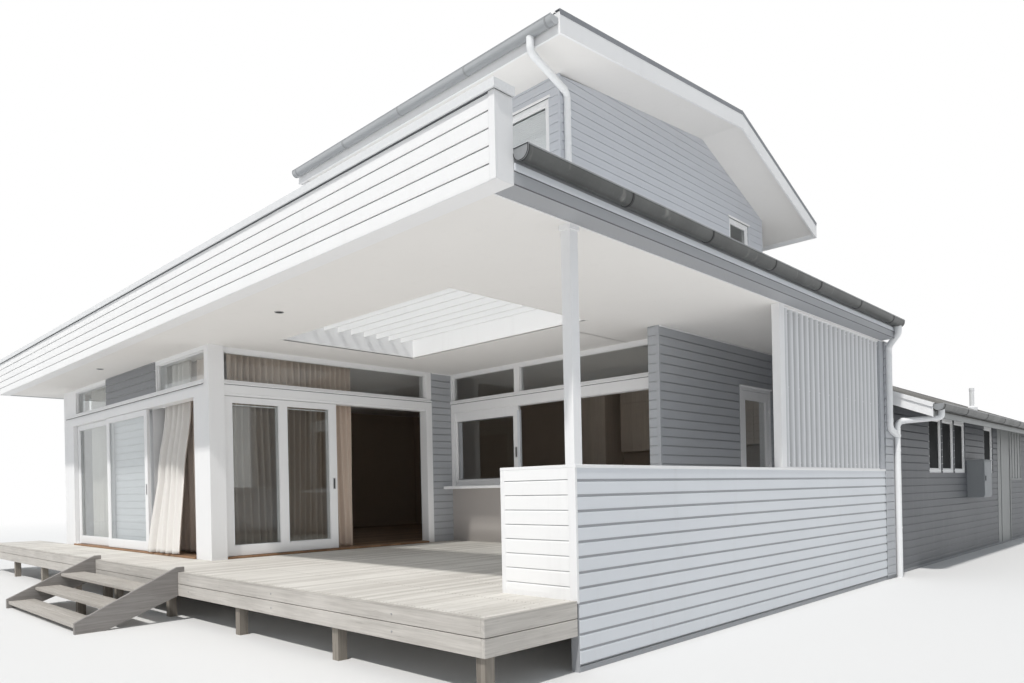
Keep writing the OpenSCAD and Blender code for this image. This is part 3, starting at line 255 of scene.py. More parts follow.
def timberFinish(dark, pale, along, width, wear=0.5, crossAxis=None):
    # weathered boards: a tone for each board, long grain, checks and grey bloom
    def paint(t):
        place, axes = t.coords()
        run = axes[along]
        other = crossAxis if crossAxis is not None else (1, 0, 0)[along]
        cross = axes[other]
        rest = axes[3 - along - other]
        board = t.speckle((cross / width).floor())
        shift = board * 37.0
        grain = t.noise(t.vector(run * 1.6 + shift, cross * 46.0 + shift, rest * 46.0), 1.0, 5.0, 0.62)
        streak = t.noise(t.vector(run * 5.0 + shift, cross * 210.0, rest * 210.0), 1.0, 3.0)
        bloom = t.noise(place, 1.3, 4.0)
        tone = grain * 0.5 + streak * 0.2 + bloom * 0.3 + (board - 0.5) * wear * 0.6
        middle = tuple((a + b) / 2 for a, b in zip(dark, pale))
        tint = t.colours(tone.clip(0.0, 1.0), (0.28, dark), (0.5, middle), (0.72, pale))
        checks = streak.ramp(0.34, 0.26)
        tint = t.mix(checks * 0.5, tint, shade(dark, 0.4))
        return {"Base Color": tint,
                "Roughness": 0.68 + 0.2 * grain,
                "Normal": t.bump(grain * 0.6 + streak * 0.4 - checks * 0.5, 0.0018, 0.7)}
    return paint


def screenFinish(tone, ridge, depth):
    # painted ribbed sheet with painted shade deep in its valleys; ridge is the x of the outer crests
    painted = paintFinish(tone, 0.0, 0.10, 0.35)

    def paint(t):
        looks = painted(t)
        place, (x, y, z) = t.coords()
        valleyShade = ((ridge - x) / depth).clip(0.0, 1.0)
        # painted shade: darker the further a point lies behind the crests
        looks["Base Color"] = t.mix(valleyShade * 0.75, looks["Base Color"], shade(tone, 0.42))
        return looks
    return paint


def metalFinish(tone, blotch, rough, spangle, aloft):
    # sheet metal: cloudy oxide, small spangle, faint runs; aloft is its tone on the upper storey, or None
    def paint(t):
        place, (x, y, z) = t.coords()
        cloud = t.noise(place, 2.2, 5.0)
        fleck = t.noise(place, spangle, 2.0)
        runs = t.noise(t.vector(x * 9.0, y * 9.0, z * 1.2), 1.0, 4.0)
        tint = t.mix(cloud.ramp(0.3, 0.75) * blotch, tone, shade(tone, 0.6))
        tint = t.mix(fleck.ramp(0.5, 0.75) * 0.16, tint, shade(tone, 1.4))
        tint = t.mix(runs.ramp(0.6, 0.8) * blotch * 0.5, tint, (0.50, 0.49, 0.47))
        if aloft:
            bright = z.over(aloftHeight)
            tint = t.mix(bright, tint, t.mix(cloud.ramp(0.3, 0.75) * 0.3, aloft, shade(aloft, 0.8)))
        return {"Base Color": tint,
                "Roughness": rough + 0.2 * cloud,
                "Normal": t.bump(cloud * 0.5 + fleck * 0.5, 0.0006, 0.3)}
    return paint


def linenFinish(tone):
    # open weave on the cloth's own map, in metres across and down
    def paint(t):
        u, v, w = t.split(t.node("ShaderNodeTexCoord", output=2))
        slub = t.noise(t.vector(u * 14.0, v * 320.0, 0.0), 1.0, 3.0)
        slubDown = t.noise(t.vector(u * 320.0, v * 14.0, 4.0), 1.0, 3.0)
        weave = (u * 2600.0).sine() * (v * 2600.0).sine()
        tint = t.mix((slub * 0.6 + slubDown * 0.5 - 0.25).clip(0.0, 1.0) * 0.8, tone, shade(tone, 0.72))
        return {"Base Color": tint,
                "Roughness": 0.86 + 0.08 * slub,
                "Normal": t.bump(slub * 0.5 + slubDown * 0.5 + weave * 0.25, 0.0008, 0.5)}
    return paint


def glassMaterial(name, tint, film):
    # clear panes that let the sun through, and reflect more the flatter they are seen
    mat, t, surface = newMaterial(name)
    surface.inputs["Base Color"].default_value = (0.86, 0.89, 0.90, 1)
    surface.inputs["Metallic"].default_value = 1.0
    place, axes = t.coords()
    smear = t.noise(place, 1.1, 3.0)
    plug(t.tree, surface.inputs["Roughness"], 0.015 + smear.ramp(0.5, 0.9) * 0.05)
    facing = t.node("ShaderNodeLayerWeight", {"Blend": 0.5}, 1)
    square = facing * facing
    mirror = 0.05 + square * square * 0.9 + smear.ramp(0.5, 0.9) * film
    clear = t.node("ShaderNodeBsdfTransparent", {"Color": (*tint, 1)})
    showMix(t, mat.node_tree.nodes["Material Output"], mirror.atMost(1.0), clear,
            Sock(t.tree, surface.outputs[0]))
    return mat


class Box:
    # a box with its corners as low and high, and its faces as x0, x1, y0, y1, z0 and z1
    def __init__(self, low, high):
        self.low, self.high = Vector(low), Vector(high)
        self.x0, self.y0, self.z0 = self.low
        self.x1, self.y1, self.z1 = self.high

    def __iter__(self):
        return iter((self.low, self.high))

    def span(self, axis):
        return self.low[axis], self.high[axis]

    def thinAxis(self):
        # 0 where its thin side faces X, 1 where it faces Y
        return 0 if self.x1 - self.x0 < self.y1 - self.y0 else 1


def box(node):
    return Box(*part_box(node))


# the places and tones that several finishes share

deckBox, ceilingBox = box("deck"), box("ceiling")
deckTop, ceilingZ = deckBox.z1, ceilingBox.z0
frontFrame, sideFrame = box("front_door_frame"), box("side_door_frame")
cornerPost, livingEnd = box("living_corner_post"), box("living_end_wall")
rearWall, greyBack = box("rear_wall"), box("grey_wall_back")
cover = {"wall": 0.117, "half": 0.12, "wing": 0.125, "deck": 0.0905, "fascia": 0.118, "rim": 0.136,
         "step": 0.31}
aloftHeight = 5.0

white, boardTone = (0.83, 0.83, 0.835), (0.43, 0.445, 0.47)
# the lining's dark brown stands for the dim rooms behind the glass: painted shade
paleTone, shadedLiningTone = (0.69, 0.715, 0.75), (0.46, 0.375, 0.30)
highGutter, edgeDark, edgePale = (0.46, 0.475, 0.49), (0.32, 0.30, 0.275), (0.63, 0.60, 0.56)
sillTop = deckTop + 0.031
rooms = [(rearWall.x0 - 0.002, livingEnd.x0 + 0.002, frontFrame.y1 - 0.03, rearWall.y0 + 0.002),
         (livingEnd.x0 - 0.002, greyBack.x0 + 0.002, livingEnd.y1 + 0.14, rearWall.y0 + 0.002)]

painted = {
    # tone, cover of one board, dirt, roughness, height where the boards start, part with a timber sill
    "white": (white,),
    "frontFrame": (white, 0.0, 0.10, 0.42, 0.0, (sillTop, 0, frontFrame.x0 + 0.5, cornerPost.x0)),
    "sideFrame": (white, 0.0, 0.10, 0.42, 0.0, (sillTop, 1, sideFrame.y0 - 1.0, sideFrame.y1 - 0.1)),
    "fascia": ((0.86, 0.86, 0.86), cover["fascia"], 0.10, 0.42, ceilingZ),
    "boards": (boardTone, cover["wall"], 0.16, 0.42, deckTop),
    "shadeBoards": (shade(boardTone, 0.50), cover["wall"], 0.16, 0.42, deckTop),
    "bayBoards": ((0.55, 0.57, 0.60), cover["wall"], 0.16, 0.42, deckTop),
    "upperBoards": ((0.55, 0.57, 0.61), cover["wall"], 0.16),
    "paleBoards": (paleTone, cover["half"], 0.16, 0.42, 0.06),
    # the wing's very dark tones stand for the shade the wing lies in: painted shade
    "wingBoards": ((0.108, 0.115, 0.127), cover["wing"], 0.16),
    "wingPale": ((0.29, 0.30, 0.30), 0.0, 0.14),
    "pale": (paleTone, 0.0, 0.12),
    "eave": ((0.36, 0.37, 0.39), 0.0, 0.12),
    # board paint darkened to 0.6 for the wall bodies, which show only in the slots between boards: painted
    # shade there
    "grey": (shade(boardTone, 0.6), 0.0, 0.12),
    "dado": ((0.42, 0.39, 0.37), 0.0, 0.2, 0.5),
    "ceiling": ((0.80, 0.785, 0.765), 0.0, 0.08, 0.6),
    # the lining's dark tone is painted shade of the dim rooms
    "lining": (shadedLiningTone, 0.0, 0.2, 0.6),
    # dark strips set where gaps would lie in shade: painted shade
    "gap": ((0.16, 0.16, 0.17), 0.0, 0.2, 0.7),
    "black": ((0.035, 0.035, 0.037), 0.0, 0.2, 0.4),
    "blind": ((0.90, 0.90, 0.92), 0.0, 0.05, 0.5),
}
timbers = {
    # dark and pale tone, axis of the grain, width of a board, wear, axis across the boards
    "deckBoards": ((0.48, 0.455, 0.42), (0.74, 0.72, 0.68), 1, cover["deck"], 0.45),
    "deckEdge": (edgeDark, edgePale, 0, cover["rim"], 0.25, 2),
    "sideEdge": (edgeDark, edgePale, 1, cover["rim"], 0.25, 2),
    "steps": ((0.33, 0.305, 0.275), (0.57, 0.545, 0.51), 0, cover["step"], 0.4),
    "stringers": ((0.22, 0.205, 0.195), (0.42, 0.40, 0.385), 1, cover["step"], 0.4),
    "stumps": ((0.14, 0.12, 0.10), (0.34, 0.31, 0.27), 2, 0.4),
    "floor": ((0.16, 0.095, 0.055), (0.38, 0.25, 0.15), 1, 0.13, 0.6),
    "cupboard": ((0.56, 0.48, 0.40), (0.74, 0.65, 0.56), 2, 0.45, 0.4),
    "sill": ((0.16, 0.085, 0.045), (0.38, 0.23, 0.13), 0, 0.2),
}
metals = {
    # tone, blotches, roughness, fineness of the spangle, tone on the upper storey, and how metallic
    "roof": ((0.36, 0.37, 0.38), 0.25, 0.45, 60.0, None, 0.2),
    "wingRoof": ((0.11, 0.107, 0.098), 0.3, 0.5, 60.0, None, 0.1),
    "gutter": ((0.118, 0.122, 0.120), 0.65, 0.32, 30.0, highGutter, 0.6),
    "gutterRim": ((0.34, 0.35, 0.36), 0.35, 0.35, 30.0, highGutter, 0.45),
    "strap": ((0.05, 0.05, 0.052), 0.4, 0.4, 60.0, (0.36, 0.37, 0.38), 0.4),
    "cap": ((0.74, 0.75, 0.76), 0.12, 0.38, 60.0, None, 0.1),
    "edging": ((0.22, 0.23, 0.25), 0.25, 0.4, 60.0, None, 0.3),
    "pipe": ((0.82, 0.83, 0.84), 0.12, 0.40, 60.0, None, 0.0),
    # the meter's tone is darkened for the wing's shade: painted shade
    "meter": ((0.27, 0.285, 0.30), 0.2, 0.45, 60.0, None, 0.0),
    "steel": ((0.45, 0.45, 0.46), 0.2, 0.3, 200.0, None, 0.9),
}
# the side room's cloth is the linen made darker and warmer as painted shade; the corner cloth is the linen
# made warmer as painted warm backlight
linens = {"linen": (0.80, 0.775, 0.745), "pleats": (0.60, 0.57, 0.52), "drape": (0.60, 0.49, 0.41),
          "cornerDrape": (0.88, 0.77, 0.69)}
fixedValues = {"white": {"Specular_IOR_Level": 0.4}, "floor": {"Coat_Weight": 0.2}}

# the room walls' weather side is darkened board paint that shows only in the slots between boards: painted
# shade there
finish = {"rooms": material("rooms", roomFinish(shade(boardTone, 0.6), shadedLiningTone, rooms)),
          "sheet": material("sheet", screenFinish((0.86, 0.87, 0.89), box("half_wall").x1 - 0.0235, 0.040)),
          "flyMesh": material("flyMesh", meshFinish, Specular_IOR_Level=0.12),
          "glass": glassMaterial("glass", (0.955, 0.962, 0.958), 0.015)}
for kind, rows in ((paintFinish, painted), (timberFinish, timbers)):
    for name, row in rows.items():
        finish[name] = material(name, kind(*row), **fixedValues.get(name, {}))
for name, (*row, metallic) in metals.items():
    finish[name] = material(name, metalFinish(*row), Metallic=metallic)
for name, tone in linens.items():
    finish[name] = material(name, linenFinish(tone), Specular_IOR_Level=0.2)

# the slot that goes with each finish, white_trim for the rest
slotOf = {mat: slot for slot, mats in {
    "grey_board": "upperBoards boards shadeBoards wingBoards",
    "roof_metal": "edging cap roof wingRoof",
    "pale_board": "eave paleBoards gap pale",
    "deck_timber": "deckBoards stumps deckEdge sideEdge steps stringers",
    "white_sheet": "sheet",
    "floor_timber": "sill",
    "cupboard_timber": "cupboard lining",
    "box_metal": "flyMesh meter",
    "linen": "blind linen pleats drape cornerDrape",
    "gutter_metal": "strap gutterRim",
    "pipe_metal": "pipe",
}.items() for mat in mats.split()}
print("finishes made")


# mesh helpers

def solidBoxes(node):
    # the box of every separate solid in a CAD node
    work = bmesh.new()
    work.from_mesh(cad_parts[node].data)
    bmesh.ops.remove_doubles(work, verts=work.verts, dist=1e-6)
    found = set()
    boxes = []
    for start in work.verts:
        if start in found:
            continue
        stack = [start]
        group = []
        found.add(start)
        while stack:
            vert = stack.pop()
            group.append(vert.co)
            for edge in vert.link_edges:
                other = edge.other_vert(vert)
                if other not in found:
                    found.add(other)
                    stack.append(other)
        boxes.append(Box(*([edge(c[i] for c in group) for i in range(3)] for edge in (min, max))))
    work.free()
    return boxes


def intoScene(name, data):
    thing = bpy.data.objects.new(name, data)
    bpy.context.scene.collection.objects.link(thing)
    return thing


def plainMesh(host):
    # the mesh that an object's modifiers make; the object goes
    depsgraph = bpy.context.evaluated_depsgraph_get()
    mesh = bpy.data.meshes.new_from_object(host.evaluated_get(depsgraph), depsgraph=depsgraph)
    host.modifiers.clear()
    bpy.data.objects.remove(host)
    return mesh


def asObject(name, shape, mat, body="house", slotName=None, replaces=(), smooth=0):
    # a finished piece from a mesh or bmesh; its faces shade as one under the angle smooth, in degrees
    mesh = meshFrom(shape, name) if isinstance(shape, bmesh.types.BMesh) else shape
    piece = intoScene(name, mesh)
    mesh.materials.clear()
    mesh.materials.append(finish[mat])
    mesh.polygons.foreach_set("material_index", [0] * len(mesh.polygons))
    mesh.polygons.foreach_set("use_smooth", [smooth > 0] * len(mesh.polygons))
    if 0 < smooth < 180:
        work = bmesh.new()
        work.from_mesh(mesh)
        for edge in work.edges:
            sharp = len(edge.link_faces) == 2 and edge.calc_face_angle(0.0) > math.radians(smooth)
            edge.smooth = not sharp
        work.to_mesh(mesh)
        work.free()
    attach(piece, body)
    slotName or slotOf.get(mat, "white_trim")
    if replaces:
        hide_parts(*replaces)
    return piece


def meshFrom(work, name, weld=False):
    mesh = bpy.data.meshes.new(name)
    if weld:
        bmesh.ops.remove_doubles(work, verts=work.verts, dist=1e-5)
    bmesh.ops.recalc_face_normals(work, faces=work.faces)
    work.to_mesh(mesh)
    work.free()
    return mesh


def addBlock(work, low, high, bevel=0.0):
    # a block with softened edges, added to a bmesh
    verts = bmesh.ops.create_cube(work, size=1.0)["verts"]
    for vert in verts:
        vert.co = Vector([low[i] + (vert.co[i] + 0.5) * (high[i] - low[i]) for i in range(3)])
    if bevel:
        edges = dict.fromkeys(edge for vert in verts for edge in vert.link_edges)
        bmesh.ops.bevel(work, geom=list(edges), offset=bevel, segments=1, affect="EDGES", clamp_overlap=True)


def blocks(name, boxes, mat, bevel=0.003, **more):
    work = bmesh.new()
    for low, high in boxes:
        addBlock(work, low, high, bevel)
    return asObject(name, work, mat, **more)


def joinRings(work, rings):
    # faces between rings of points, and one over each end
    count = len(rings[0])
    for ring, following in zip(rings, rings[1:]):
        for j in range(count):
            k = (j + 1) % count
            work.faces.new((ring[j], ring[k], following[k], following[j]))
    work.faces.new(rings[0])
    work.faces.new(list(reversed(rings[-1])))


def sweep(work, path, profile, up=(0, 0, 1)):
    # a profile of (side, height) pairs along a path of points, mitred at its corners
    points = [Vector(p) for p in path]
    up = Vector(up)
    rings = []
    for i, point in enumerate(points):
        before = (point - points[i - 1]).normalized() if i else None
        after = (points[i + 1] - point).normalized() if i + 1 < len(points) else None
        first, second = before or after, after or before
        along = (first + second).normalized()
        side = along.cross(up).normalized()
        rise = side.cross(along).normalized()
        stretch = 1.0 / max(0.3, along.dot(first)) - 1.0
        bend = first.cross(second)
        turn = abs(bend.normalized().dot(up)) if bend.length > 1e-6 else 0.0
        wide, tall = 1.0 + stretch * turn, 1.0 + stretch * (1.0 - turn)
        rings.append([work.verts.new(point + side * s * wide + rise * h * tall) for s, h in profile])
    joinRings(work, rings)


def rounded(path, radius, steps=5):
    # the path with each of its corners turned into an arc
    points = [Vector(p) for p in path]
    out = [points[0]]
    for before, corner, after in zip(points, points[1:], points[2:]):
        a = before - corner
        b = after - corner
        half = a.angle(b) / 2
        back = min(radius / math.tan(half), 0.45 * a.length, 0.45 * b.length)
        start = corner + a.normalized() * back
        end = corner + b.normalized() * back
        for i in range(steps + 1):
            s = i / steps
            out.append(start * (1 - s) ** 2 + corner * 2 * s * (1 - s) + end * s * s)
    out.append(points[-1])
    return out


def addTube(work, path, radius, sides=16):
    # a round pipe along a path, its rings carried along without twist
    path = [Vector(p) for p in path]
    circle = [2 * math.pi * k / sides for k in range(sides)]
    normal = None
    rings = []
    for i, point in enumerate(path):
        along = (path[min(i + 1, len(path) - 1)] - path[max(i - 1, 0)]).normalized()
        normal = normal or along.orthogonal().normalized()
        normal = (normal - along * normal.dot(along)).normalized()
        other = along.cross(normal)
        rings.append([work.verts.new(point + radius * (math.cos(a) * normal + math.sin(a) * other))
                      for a in circle])
    joinRings(work, rings)


def addDisc(work, centre, radii, heights, sides=40):
    # rings of points round an upright axis, joined in order; a radius of zero closes it
    circle = [(math.cos(2 * math.pi * k / sides), math.sin(2 * math.pi * k / sides)) for k in range(sides)]
    rings = [[work.verts.new((centre[0] + radius * c, centre[1] + radius * s, height))
              for c, s in (circle if radius else circle[:1])] for radius, height in zip(radii, heights)]
    for ring, following in zip(rings, rings[1:]):
        for k in range(sides):
            m = (k + 1) % sides
            corners = (ring[k % len(ring)], ring[m % len(ring)], following[m % len(following)],
                       following[k % len(following)])
            work.faces.new(list(dict.fromkeys(corners)))


# geometry node trees

def geometryTree(name, sizes):
    group = bpy.data.node_groups.new(name, "GeometryNodeTree")
    group.interface.new_socket("Geometry", in_out="OUTPUT", socket_type="NodeSocketGeometry")
    for key, value in sizes.items():
        kind = "NodeSocketFloat"
        if isinstance(value, int):
            kind = "NodeSocketInt"
        if isinstance(value, tuple):
            kind = "NodeSocketVector"
        slot = group.interface.new_socket(key, in_out="INPUT", socket_type=kind)
        slot.default_value = value
    entry = group.nodes.new("NodeGroupInput")
    return group, Tree(group), {key: Sock(group, entry.outputs[key]) for key in sizes}


def closeTree(group, v, geometry, mat, rotation=None):
    # turns the shape, moves it to its place and paints it
    tree = Tree(group)
    turned = tree.node("GeometryNodeTransform", {0: geometry, "Translation": v["Place"],
                                                 "Rotation": rotation or v["Rotation"]})
    real = tree.node("GeometryNodeRealizeInstances", {0: turned})
    painted = tree.node("GeometryNodeSetMaterial", {0: real, "Material": finish[mat]})
    leave = group.nodes.new("NodeGroupOutput")
    group.links.new(painted.socket, leave.inputs[0])


def runTree(group, values):
    # evaluates a tree on an empty mesh and hands back the plain mesh
    host = intoScene("host", bpy.data.meshes.new("host"))
    modifier = host.modifiers.new("shape", "NODES")
    modifier.node_group = group
    for item in group.interface.items_tree:
        if item.in_out == "INPUT" and item.name in values:
            modifier[item.identifier] = values[item.name]
    return plainMesh(host)


def solidBar(axis, plane, span, rise):
    # corners of a block by its thickness, its length along a wall and its rise; axis 0 faces X
    across, along = (plane, span) if axis == 0 else (span, plane)
    return (across[0], along[0], rise[0]), (across[1], along[1], rise[1])


# lapped boards on one rectangle of wall: local x along the wall, -y out of it, z up
boardSizes = {"Length": 1.0, "Height": 1.0, "Pitch": 0.117, "Phase": 0.0, "Thick": 0.016, "Slope": 0.016,
              "Depth": 0.0080, "Gap": 0.0045, "Left Foot": 50.0, "Left Run": 0.0, "Right Foot": 50.0,
              "Right Run": 0.0, "Turn": 0.0, "Place": (0.0, 0.0, 0.0)}


def boardTree():
    group, t, v = geometryTree("lapBoards", boardSizes)
    face = v["Pitch"] - v["Gap"]
    profile = t.node("GeometryNodeCurvePrimitiveQuadrilateral", {
        "Point 1": t.vector(0.0, 0.0, 0.0),
        "Point 2": t.vector(v["Thick"] - v["Depth"], 0.0 - face, 0.0),
        "Point 3": t.vector(v["Thick"], v["Slope"] - face, 0.0),
        "Point 4": t.vector(v["Thick"], 0.0, 0.0)}, mode="POINTS")
    rail = t.node("GeometryNodeCurvePrimitiveLine", {"Start": (0.0, 0.0, 0.0),
                                                     "End": t.vector(v["Length"], 0.0, 0.0)})
    board = t.node("GeometryNodeCurveToMesh", {"Curve": rail, "Profile Curve": profile, "Fill Caps": True})
    count = ((v["Height"] + v["Phase"]) / v["Pitch"]).ceil()
    line = t.node("GeometryNodeMeshLine", {
        "Count": count, "Start Location": t.vector(0.0, 0.0, 0.0 - v["Phase"]),
        "Offset": t.vector(0.0, 0.0, v["Pitch"])})
    laid = t.node("GeometryNodeInstanceOnPoints", {"Points": line, "Instance": board})
    laid = t.node("GeometryNodeRealizeInstances", {0: laid})
    x, y, z = t.split(t.node("GeometryNodeInputPosition"))
    height = z.clip(0.0, v["Height"])
    left = ((height - v["Left Foot"]) * v["Left Run"]).clip(0.0, v["Length"])
    right = v["Length"] - ((height - v["Right Foot"]) * v["Right Run"]).clip(0.0, v["Length"])
    across = x.maths("MINIMUM", x.maths("MAXIMUM", x, left), right)
    shaped = t.node("GeometryNodeSetPosition", {0: laid, "Position": t.vector(across, y, height)})
    closeTree(group, v, shaped, "boards", t.vector(0.0, 0.0, v["Turn"]))
    return group


# planks side by side: local x across them, y along them, each cut once at a joint that shifts
plankSizes = {"Count": 8, "Pitch": 0.09, "Width": 0.0875, "Thick": 0.03, "Round": 0.002, "Start": 0.0,
              "Finish": 1.0, "Joint": 1.0, "Stagger": 0.0, "Gap": 0.002, "Uneven": 0.0006, "Seed": 3,
              "Rotation": (0.0, 0.0, 0.0), "Place": (0.0, 0.0, 0.0)}


def plankTree():
    group, t, v = geometryTree("planks", plankSizes)
    outline = t.node("GeometryNodeCurvePrimitiveQuadrilateral", {"Width": v["Width"], "Height": v["Thick"]},
                     mode="RECTANGLE")
    outline = t.node("GeometryNodeFilletCurve", {0: outline, "Radius": v["Round"]})
    rail = t.node("GeometryNodeCurvePrimitiveLine", {"Start": (0.0, 0.0, 0.0), "End": (0.0, 1.0, 0.0)})
    plank = t.node("GeometryNodeCurveToMesh", {"Curve": rail, "Profile Curve": outline, "Fill Caps": True})
    row = t.node("GeometryNodeInputIndex")
    choice = t.node("FunctionNodeRandomValue", {4: 0, 5: 2, "ID": row, "Seed": v["Seed"]}, 2,
                    data_type="INT")
    drop = t.node("FunctionNodeRandomValue", {2: 0.0, 3: 1.0, "ID": row, "Seed": v["Seed"] + 7.0}, 1,
                  data_type="FLOAT")
    joint = (v["Joint"] + choice * v["Stagger"]).atMost(v["Finish"])
    parts = []
    for begin, length in ((v["Start"], joint - v["Start"]), (joint, v["Finish"] - joint)):
        line = t.node("GeometryNodeMeshLine",
                      {"Count": v["Count"], "Offset": t.vector(v["Pitch"], 0.0, 0.0)})
        moved = t.node("GeometryNodeSetPosition", {
            0: line, "Offset": t.vector(v["Pitch"] * 0.5, begin + v["Gap"] * 0.5,
                                        0.0 - v["Thick"] * 0.5 - drop * v["Uneven"])})
        size = t.vector(1.0, (length - v["Gap"]).atLeast(0.0005), 1.0)
        parts.append(t.node("GeometryNodeInstanceOnPoints", {"Points": moved, "Instance": plank,
                                                             "Scale": size}))
    closeTree(group, v, t.join(reversed(parts)), "deckBoards")
    return group


# waved sheet: local x down its run, y across its waves, z out of it
sheetSizes = {"Run": 1.0, "Width": 1.0, "Pitch": 0.076, "Depth": 0.016, "Thick": 0.001, "Phase": 0.0,
              "Steps": 8, "Rotation": (0.0, 0.0, 0.0), "Place": (0.0, 0.0, 0.0)}


def sheetTree():
    group, t, v = geometryTree("wavedSheet", sheetSizes)
    rows = (v["Width"] / v["Pitch"] * v["Steps"]).ceil() + 1.0
    grid = t.node("GeometryNodeMeshGrid", {"Size X": v["Run"], "Size Y": v["Width"], "Vertices X": 2,
                                           "Vertices Y": rows})
    x, y, z = t.split(t.node("GeometryNodeInputPosition"))
    along = y + v["Width"] * 0.5
    wave = ((along / v["Pitch"] + v["Phase"]) * (2 * math.pi)).sine() * v["Depth"] * 0.5
    grid = t.node("GeometryNodeSetPosition",
                  {0: grid, "Position": t.vector(x + v["Run"] * 0.5, along, wave)})
    raised = t.node("GeometryNodeExtrudeMesh", {"Mesh": grid, "Offset": t.vector(0.0, 0.0, 1.0),
                                                "Offset Scale": v["Thick"], "Individual": False})
    under = t.node("GeometryNodeFlipFaces", {0: grid})
    welded = t.node("GeometryNodeMergeByDistance", {0: t.join((under, raised)), "Distance": 0.00005})
    closeTree(group, v, welded, "roof")
    return group


# small round heads in rows over a rectangle: local x and y across it, z out of it
headSizes = {"Columns": 4, "Rows": 4, "Step X": 0.1, "Step Y": 0.1, "Radius": 0.004, "Height": 0.002,
             "Sides": 8, "Rotation": (0.0, 0.0, 0.0), "Place": (0.0, 0.0, 0.0)}


def headTree():
    group, t, v = geometryTree("heads", headSizes)
    head = t.node("GeometryNodeMeshCone", {"Vertices": v["Sides"], "Radius Top": v["Radius"] * 0.7,
                                           "Radius Bottom": v["Radius"], "Depth": v["Height"]})
    grid = t.node("GeometryNodeMeshGrid", {
        "Size X": v["Step X"] * (v["Columns"] - 1.0), "Size Y": v["Step Y"] * (v["Rows"] - 1.0),
        "Vertices X": v["Columns"], "Vertices Y": v["Rows"]})
    moved = t.node("GeometryNodeTransform", {0: grid, "Translation": t.vector(
        v["Step X"] * (v["Columns"] - 1.0) * 0.5, v["Step Y"] * (v["Rows"] - 1.0) * 0.5, 0.0)})
    placed = t.node("GeometryNodeInstanceOnPoints", {"Points": moved, "Instance": head})
    closeTree(group, v, placed, "steel")
    return group


lapBoards, planks, wavedSheet, heads = boardTree(), plankTree(), sheetTree(), headTree()
facing = {"front": 0.0, "right": math.pi / 2, "back": math.pi, "left": -math.pi / 2}


def slopeTop(slopes, b0, b1):
    # highest point under two slopes between two places along the wall
    (leftAt, leftZ, leftRise), (rightAt, rightZ, rightRise) = slopes
    meet = (rightZ - leftZ + rightAt * rightRise + leftAt * leftRise) / (leftRise + rightRise)
    at = min(max(meet, b0), b1)
    return min(leftZ + (at - leftAt) * leftRise, rightZ + (rightAt - at) * rightRise)


def cladFields(side, plane, span, rise, openings=(), slopes=None, pitch=0.117, base=deckTop, **profile):
    # boards over a wall, given by its plane, its span along the ground and its rise, round its openings
    (at, a1), (z0, z1) = span, rise
    rects = []
    for o0, o1, oz0, oz1 in sorted(o for o in openings if o[0] < a1 and o[1] > at):
        start = max(o0, at)
        rects += [(at, o0, z0, z1), (start, o1, z0, oz0), (start, o1, oz1, z1)]
        at = o1
    rects.append((at, a1, z0, z1))
    meshes = []
    for b0, b1, c0, c1 in rects:
        if slopes:
            c1 = min(c1, slopeTop(slopes, b0, b1))
        if min(b1 - b0, c1 - c0) < 0.004:
            # nothing left to cover
            continue
        values = {"Length": b1 - b0, "Height": c1 - c0, "Pitch": pitch, "Phase": (c0 - base) % pitch,
                  "Turn": facing[side]}
        values.update({key.capitalize(): value for key, value in profile.items()})
        if slopes:
            # each slope is (where, height, rise): the wall's top line through that point
            (leftAt, leftZ, leftRise), (rightAt, rightZ, rightRise) = slopes
            left = (leftZ + (b0 - leftAt) * leftRise - c0, 1.0 / leftRise)
            right = (rightZ + (rightAt - b1) * rightRise - c0, 1.0 / rightRise)
            if side in ("left", "back"):
                left, right = right, left
            values["Left Foot"], values["Left Run"] = left
            values["Right Foot"], values["Right Run"] = right
        values["Place"] = {"front": (b0, plane, c0), "right": (plane, b0, c0),
                           "back": (b1, plane, c0), "left": (plane, b1, c0)}[side]
        meshes.append(runTree(lapBoards, values))
    return meshes


windowRings = solidBoxes("window_frames")


def holes(axis, plane, reach=0.2):
    # openings cut by the window frames that lie in a wall's plane
    return [(*ring.span(1 - axis), ring.z0, ring.z1) for ring in windowRings
            if ring.thinAxis() == axis and ring.low[axis] - reach < plane < ring.high[axis] + reach]


def clad(name, meshes, mat, **more):
    # one piece from several meshes
    work = bmesh.new()
    for mesh in meshes:
        work.from_mesh(mesh)
        bpy.data.meshes.remove(mesh)
    out = bpy.data.meshes.new(name)
    work.to_mesh(out)
    work.free()
    return asObject(name, out, mat, **more)


# places that many pieces share

upFront, upRight = box("upper_front_wall"), box("upper_right_gable")
upRear, upLeft = box("upper_rear_wall"), box("upper_left_gable")
halfWall, screen = box("half_wall"), box("corrugated_screen")
greyFront, doorFrame = box("grey_wall_front"), box("hinged_door_frame")
endWall, leftWall, bayWall = box("passage_end_wall"), box("left_wall"), box("front_bay_wall")
fascia, eave, wellBox = box("front_fascia"), box("side_eave"), box("skylight_well")
wingRight, wingLeft, wingEnd = box("wing_right_wall"), box("wing_left_wall"), box("wing_end_wall")
roofUp, roofWing, roofMain = box("upper_roof"), box("wing_roof"), box("main_roof")
kitchenFrames = box("kitchen_window_frames")
edgeX = deckBox.x1
frontY = frontFrame.y1 - 0.16
groundGlass = solidBoxes("ground_floor_glass")
clereGlass = [pane for pane in groundGlass if pane.z0 > ceilingZ - 0.6]


def topOf(node, test=lambda corner: True):
    # the highest of a node's corners that pass a test
    return max((v.co.copy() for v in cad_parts[node].data.vertices if test(v.co)), key=lambda c: c.z)


